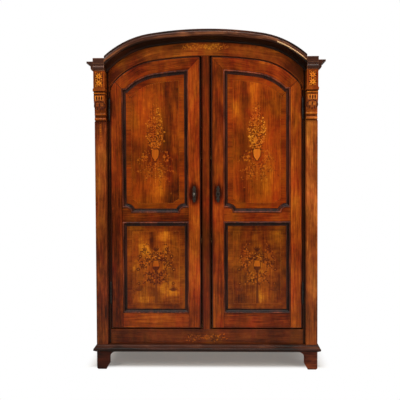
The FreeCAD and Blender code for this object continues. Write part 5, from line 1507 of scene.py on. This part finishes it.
swag_light, swag_dark = plinth_swag()
inlay("plinth_light_marquetry", lifted(swag_light, PLINTH_LEVEL, 0.0), 1.0, FACE - 0.0004, light_inlay,
      "case", "level", 114)
inlay("plinth_dark_marquetry", lifted(swag_dark, PLINTH_LEVEL, 0.0), 1.0, FACE - 0.0003, dark_inlay,
      "case", "level", 115)


def scroll_front(height):
    """Depth of the console's scroll at a height: two equal bows of opposite turn between three points.

    A bow stands off its chord by 4 u (1 - u) times the rise that an arc of the scroll's radius has.
    """
    middle = (SCROLL_BOTTOM + SCROLL_TOP) / 2
    upper = height > middle
    low_z = np.where(upper, middle, SCROLL_BOTTOM)
    low_y = np.where(upper, SCROLL_MIDDLE, SCROLL_FOOT)
    rise = middle - SCROLL_BOTTOM
    lean = SCROLL_HEAD - SCROLL_MIDDLE
    chord = math.hypot(rise, lean)
    bow = SCROLL_RADIUS - math.sqrt(SCROLL_RADIUS ** 2 - chord ** 2 / 4)
    share = np.clip((height - low_z) / rise, 0, 1)
    offset = bow * 4 * share * (1 - share)
    return low_y + lean * share + np.where(upper, -offset, offset)


def rosette(x, z, reach, turn=22.5):
    """A flower of eight long petals about a point."""
    angle = np.arange(8) * 45.0 + turn
    start = np.array([(x, z)] * 8) + 0.0035 * np.stack(
        [np.cos(np.radians(angle)), np.sin(np.radians(angle))], -1)
    return almonds(start, angle, reach * 0.86, reach * 0.34)


DIE_MIDDLE = 1.795
DIE_HALF_HEIGHT = 0.043
GROUND_HALF = 0.0265
DIE_FLOWERS = (1.816, 1.774)
DIE_BUDS = (1.837, 1.795, 1.757)
DIE_EDGES = (1.755, 1.835)
SCROLL_LEVELS = (1.600, 1.697)
SCROLL_CENTRE = 1.6485
SCROLL_SIDES = (1.604, 1.650, 1.694)
LYRE_WIDTH = 0.0044
SIDE_STRING = 0.0026
HUSKS = 13


def die_marquetry(side, sign):
    """Two flowers over each other on the block at a console's head, with buds and edge strings."""
    ground = shaped([-DIE_HALF_HEIGHT, 0.0, DIE_HALF_HEIGHT], [GROUND_HALF] * 3,
                    (CONSOLE_MIDDLE, DIE_MIDDLE))
    inlay(side + "_die_ground", [(ground, 0.02 + 0.14 * sign)], sign, DIE_FRONT - 0.0003, amber_ground,
          "case", seed=120 + sign)
    petals = np.concatenate([rosette(CONSOLE_MIDDLE, height, 0.0215) for height in DIE_FLOWERS])
    buds = almonds([(CONSOLE_MIDDLE + way * 0.0175, height - 0.006) for way in (-1, 1)
                    for height in DIE_BUDS], 90, 0.012, 0.006)
    inlay(side + "_die_petals", [(petals, 0.30), (buds, 0.2)], sign, DIE_FRONT - 0.0006, light_inlay,
          "case", seed=121 + sign)
    between = np.concatenate([rosette(CONSOLE_MIDDLE, height, 0.0235, 0.0) for height in DIE_FLOWERS])
    eyes = buttons([(CONSOLE_MIDDLE, height) for height in DIE_FLOWERS], 0.0036)
    edges = ribbons([[(CONSOLE_MIDDLE + way * 0.0235, height) for height in DIE_EDGES]
                     for way in (-1, 1)], SIDE_STRING)
    inlay(side + "_die_flowers", [(between, -0.3), (eyes, -0.3), (edges, -0.1)], sign,
          DIE_FRONT - 0.0005, dark_inlay, "case", seed=122 + sign)


def scroll_marquetry(side, sign):
    """A fan, a lyre and hanging drops that follow the scroll of a console."""
    levels = np.linspace(*SCROLL_LEVELS, 25)
    ground = shaped(levels - SCROLL_CENTRE, np.full(25, GROUND_HALF), (CONSOLE_MIDDLE, SCROLL_CENTRE))
    inlay(side + "_scroll_ground", [(ground, 0.42 + 0.08 * sign)], sign, 0.0, amber_ground, "case",
          seed=124 + sign, over=lambda height: scroll_front(height) - 0.0004)
    fan = almonds([(CONSOLE_MIDDLE + step * 0.0155, 1.695) for step in (-1, 0, 1)], 270, 0.026, 0.0095)
    lyre = [scroll((CONSOLE_MIDDLE + way * 0.002, 1.668), 270 + way * 66, 0.082, -way * 128)
            for way in (-1, 1)]
    strings = [[(CONSOLE_MIDDLE + way * 0.0245, height) for height in SCROLL_SIDES] for way in (-1, 1)]
    drops = [(CONSOLE_MIDDLE, 1.654), (CONSOLE_MIDDLE - 0.014, 1.634), (CONSOLE_MIDDLE + 0.014, 1.634),
             (CONSOLE_MIDDLE, 1.624)]
    tail = almonds(drops, 270, [0.024, 0.024, 0.024, 0.020], 0.0075)
    shapes = [(fan, -0.2), (tail, -0.2), (ribbons(lyre, LYRE_WIDTH), -0.2),
              (ribbons(strings, SIDE_STRING), -0.1)]
    inlay(side + "_scroll_flowers", shapes, sign, 0.0, dark_inlay, "case", seed=126 + sign,
          over=lambda height: scroll_front(height) - 0.0006)


def pilaster_husks(side, sign):
    """A string of husks that hangs down a pilaster, narrower towards its end."""
    drop = np.array([(CONSOLE_MIDDLE, 1.530 - 0.0105 * step) for step in range(HUSKS)])
    husks = almonds(drop, 270, 0.0090, np.linspace(0.0072, 0.0040, HUSKS))
    inlay(side + "_pilaster_husks", [(husks, 0.0)], sign, PILASTER_FRONT - 0.0003, light_inlay, "case",
          seed=128 + sign)


for side, sign in SIDES.items():
    die_marquetry(side, sign)
    scroll_marquetry(side, sign)
    pilaster_husks(side, sign)

# ------------------------------------------------------------------- floor, light and camera

FLOOR_REACH = 40.0
FLOOR_MIDDLE = 0.14
# distances across and along at which the floor starts to fade and is white
FLOOR_FADE = ((0.675, 0.79), (0.280, 0.375))
FLOOR_COLOUR = (0.78, 0.75, 0.715, 1.0)
FLOOR_LIFT = ((1.0, 0.97, 0.93, 1.0), 0.165)
SKY_COLOUR = (1.0, 0.99, 0.975, 1.0)
SKY_STRENGTH = 0.16
WHITE = (1.0, 1.0, 1.0, 1.0)
CAMERA_PLACE = (0.0974, -4.722, 1.225)
CAMERA_TURN = (-0.0301, 0.0375, 0.0047)
CAMERA_LENS = 65.223


def floor_finish():
    """Pale floor that keeps the shadow near the furniture and runs out to white further off."""
    made, tree, shader = finish("studio_floor")
    output = tree.nodes["Material Output"]
    shader.inputs["Base Color"].default_value = FLOOR_COLOUR
    shader.inputs["Roughness"].default_value = 0.9
    shader.inputs["Specular IOR Level"].default_value = 0.0
    place = part_of(tree, "ShaderNodeTexCoord").outputs["Object"]
    moved = part_of(tree, "ShaderNodeVectorMath", {0: place, 1: (0.0, -FLOOR_MIDDLE, 0.0)}, operation="ADD")
    away = part_of(tree, "ShaderNodeVectorMath", {0: moved.outputs[0]}, operation="ABSOLUTE")
    parts = part_of(tree, "ShaderNodeSeparateXYZ", {0: away.outputs[0]})
    across, along = [
        part_of(tree, "ShaderNodeMapRange", {0: parts.outputs[axis], 1: start, 2: end, 3: 0.0, 4: 1.0},
                interpolation_type="SMOOTHSTEP")
        for axis, (start, end) in enumerate(FLOOR_FADE)]
    plain = part_of(tree, "ShaderNodeMath", {0: across.outputs[0], 1: along.outputs[0]},
                    operation="MAXIMUM")
    white = part_of(tree, "ShaderNodeEmission", {0: WHITE, 1: 1.0})
    lift = part_of(tree, "ShaderNodeEmission", {0: FLOOR_LIFT[0], 1: FLOOR_LIFT[1]})
    near = part_of(tree, "ShaderNodeAddShader", {0: shader.outputs[0], 1: lift.outputs[0]})
    mixed = part_of(tree, "ShaderNodeMixShader", {0: plain.outputs[0], 1: near.outputs[0],
                                                   2: white.outputs[0]})
    ray = part_of(tree, "ShaderNodeLightPath")
    seen = part_of(tree, "ShaderNodeMixShader", {0: ray.outputs["Is Camera Ray"], 1: shader.outputs[0],
                                                  2: mixed.outputs[0]})
    tree.links.new(seen.outputs[0], output.inputs["Surface"])
    return made


def lay_floor():
    """A square sheet at floor level."""
    corners = [(-1, -1), (1, -1), (1, 1), (-1, 1)]
    mesh = bpy.data.meshes.new("studio_floor")
    mesh.from_pydata([(FLOOR_REACH * x, FLOOR_REACH * y, 0) for x, y in corners], [], [(0, 1, 2, 3)])
    mesh.materials.append(floor_finish())
    floor = bpy.data.objects.new("studio_floor", mesh)
    bpy.context.scene.collection.objects.link(floor)


def studio_world():
    """White as the camera sees it, and a soft even sky for light."""
    world = bpy.data.worlds.new("studio")
    world.use_nodes = True
    bpy.context.scene.world = world
    tree = world.node_tree
    sky = tree.nodes["Background"]
    sky.inputs[0].default_value = SKY_COLOUR
    sky.inputs[1].default_value = SKY_STRENGTH
    white = part_of(tree, "ShaderNodeBackground", {0: WHITE, 1: 1.0})
    ray = part_of(tree, "ShaderNodeLightPath")
    mixed = part_of(tree, "ShaderNodeMixShader", {0: ray.outputs["Is Camera Ray"], 1: sky.outputs[0],
                                                   2: white.outputs[0]})
    tree.links.new(mixed.outputs[0], tree.nodes["World Output"].inputs[0])


def soft_lamp(name, place, target, size, power, colour):
    """A square softbox that faces its target."""
    lamp = bpy.data.lights.new(name, "AREA")
    lamp.size = size
    lamp.energy = power
    lamp.color = colour
    holder = bpy.data.objects.new(name, lamp)
    forward = np.array(target, float) - np.array(place, float)
    forward /= np.linalg.norm(forward)
    right = np.cross(forward, (0.0, 0.0, 1.0))
    right /= np.linalg.norm(right)
    up = np.cross(right, forward)
    turn = np.stack([right, up, -forward], axis=1)
    holder.matrix_world = Matrix.Translation(place) @ Matrix(turn.tolist()).to_4x4()
    bpy.context.scene.collection.objects.link(holder)


def stand_camera():
    """A level studio camera a little right of the middle, turned and tipped slightly."""
    yaw, pitch, roll = CAMERA_TURN
    across = np.array([math.cos(yaw), -math.sin(yaw), 0.0])
    ahead = np.array([math.sin(yaw), math.cos(yaw), 0.0])
    upright = np.array([0.0, 0.0, 1.0])
    forward = math.cos(pitch) * ahead - math.sin(pitch) * upright
    above = math.sin(pitch) * ahead + math.cos(pitch) * upright
    right = math.cos(roll) * across - math.sin(roll) * above
    up = math.sin(roll) * across + math.cos(roll) * above
    data = bpy.data.cameras.new("camera")
    data.sensor_width = 36.0
    data.sensor_height = 36.0
    data.lens = CAMERA_LENS
    data.clip_end = 200.0
    camera = bpy.data.objects.new("camera", data)
    turn = Matrix(np.stack([right, up, -forward], axis=1).tolist()).to_4x4()
    camera.matrix_world = Matrix.Translation(CAMERA_PLACE) @ turn
    bpy.context.scene.collection.objects.link(camera)
    bpy.context.scene.camera = camera


lay_floor()
studio_world()
soft_lamp("overhead_light", (0.2, -2.1, 4.8), (0.0, -0.9, 0.0), 3.4, 300.0, (1.0, 0.985, 0.96))
soft_lamp("key_light", (-3.0, -4.8, 3.9), (0.0, 0.0, 1.1), 1.8, 134.0, (1.0, 0.96, 0.91))
soft_lamp("fill_light", (3.4, -4.6, 2.9), (0.1, 0.0, 1.0), 2.2, 78.0, (1.0, 0.97, 0.93))
stand_camera()
bpy.context.scene.view_settings.view_transform = "Standard"
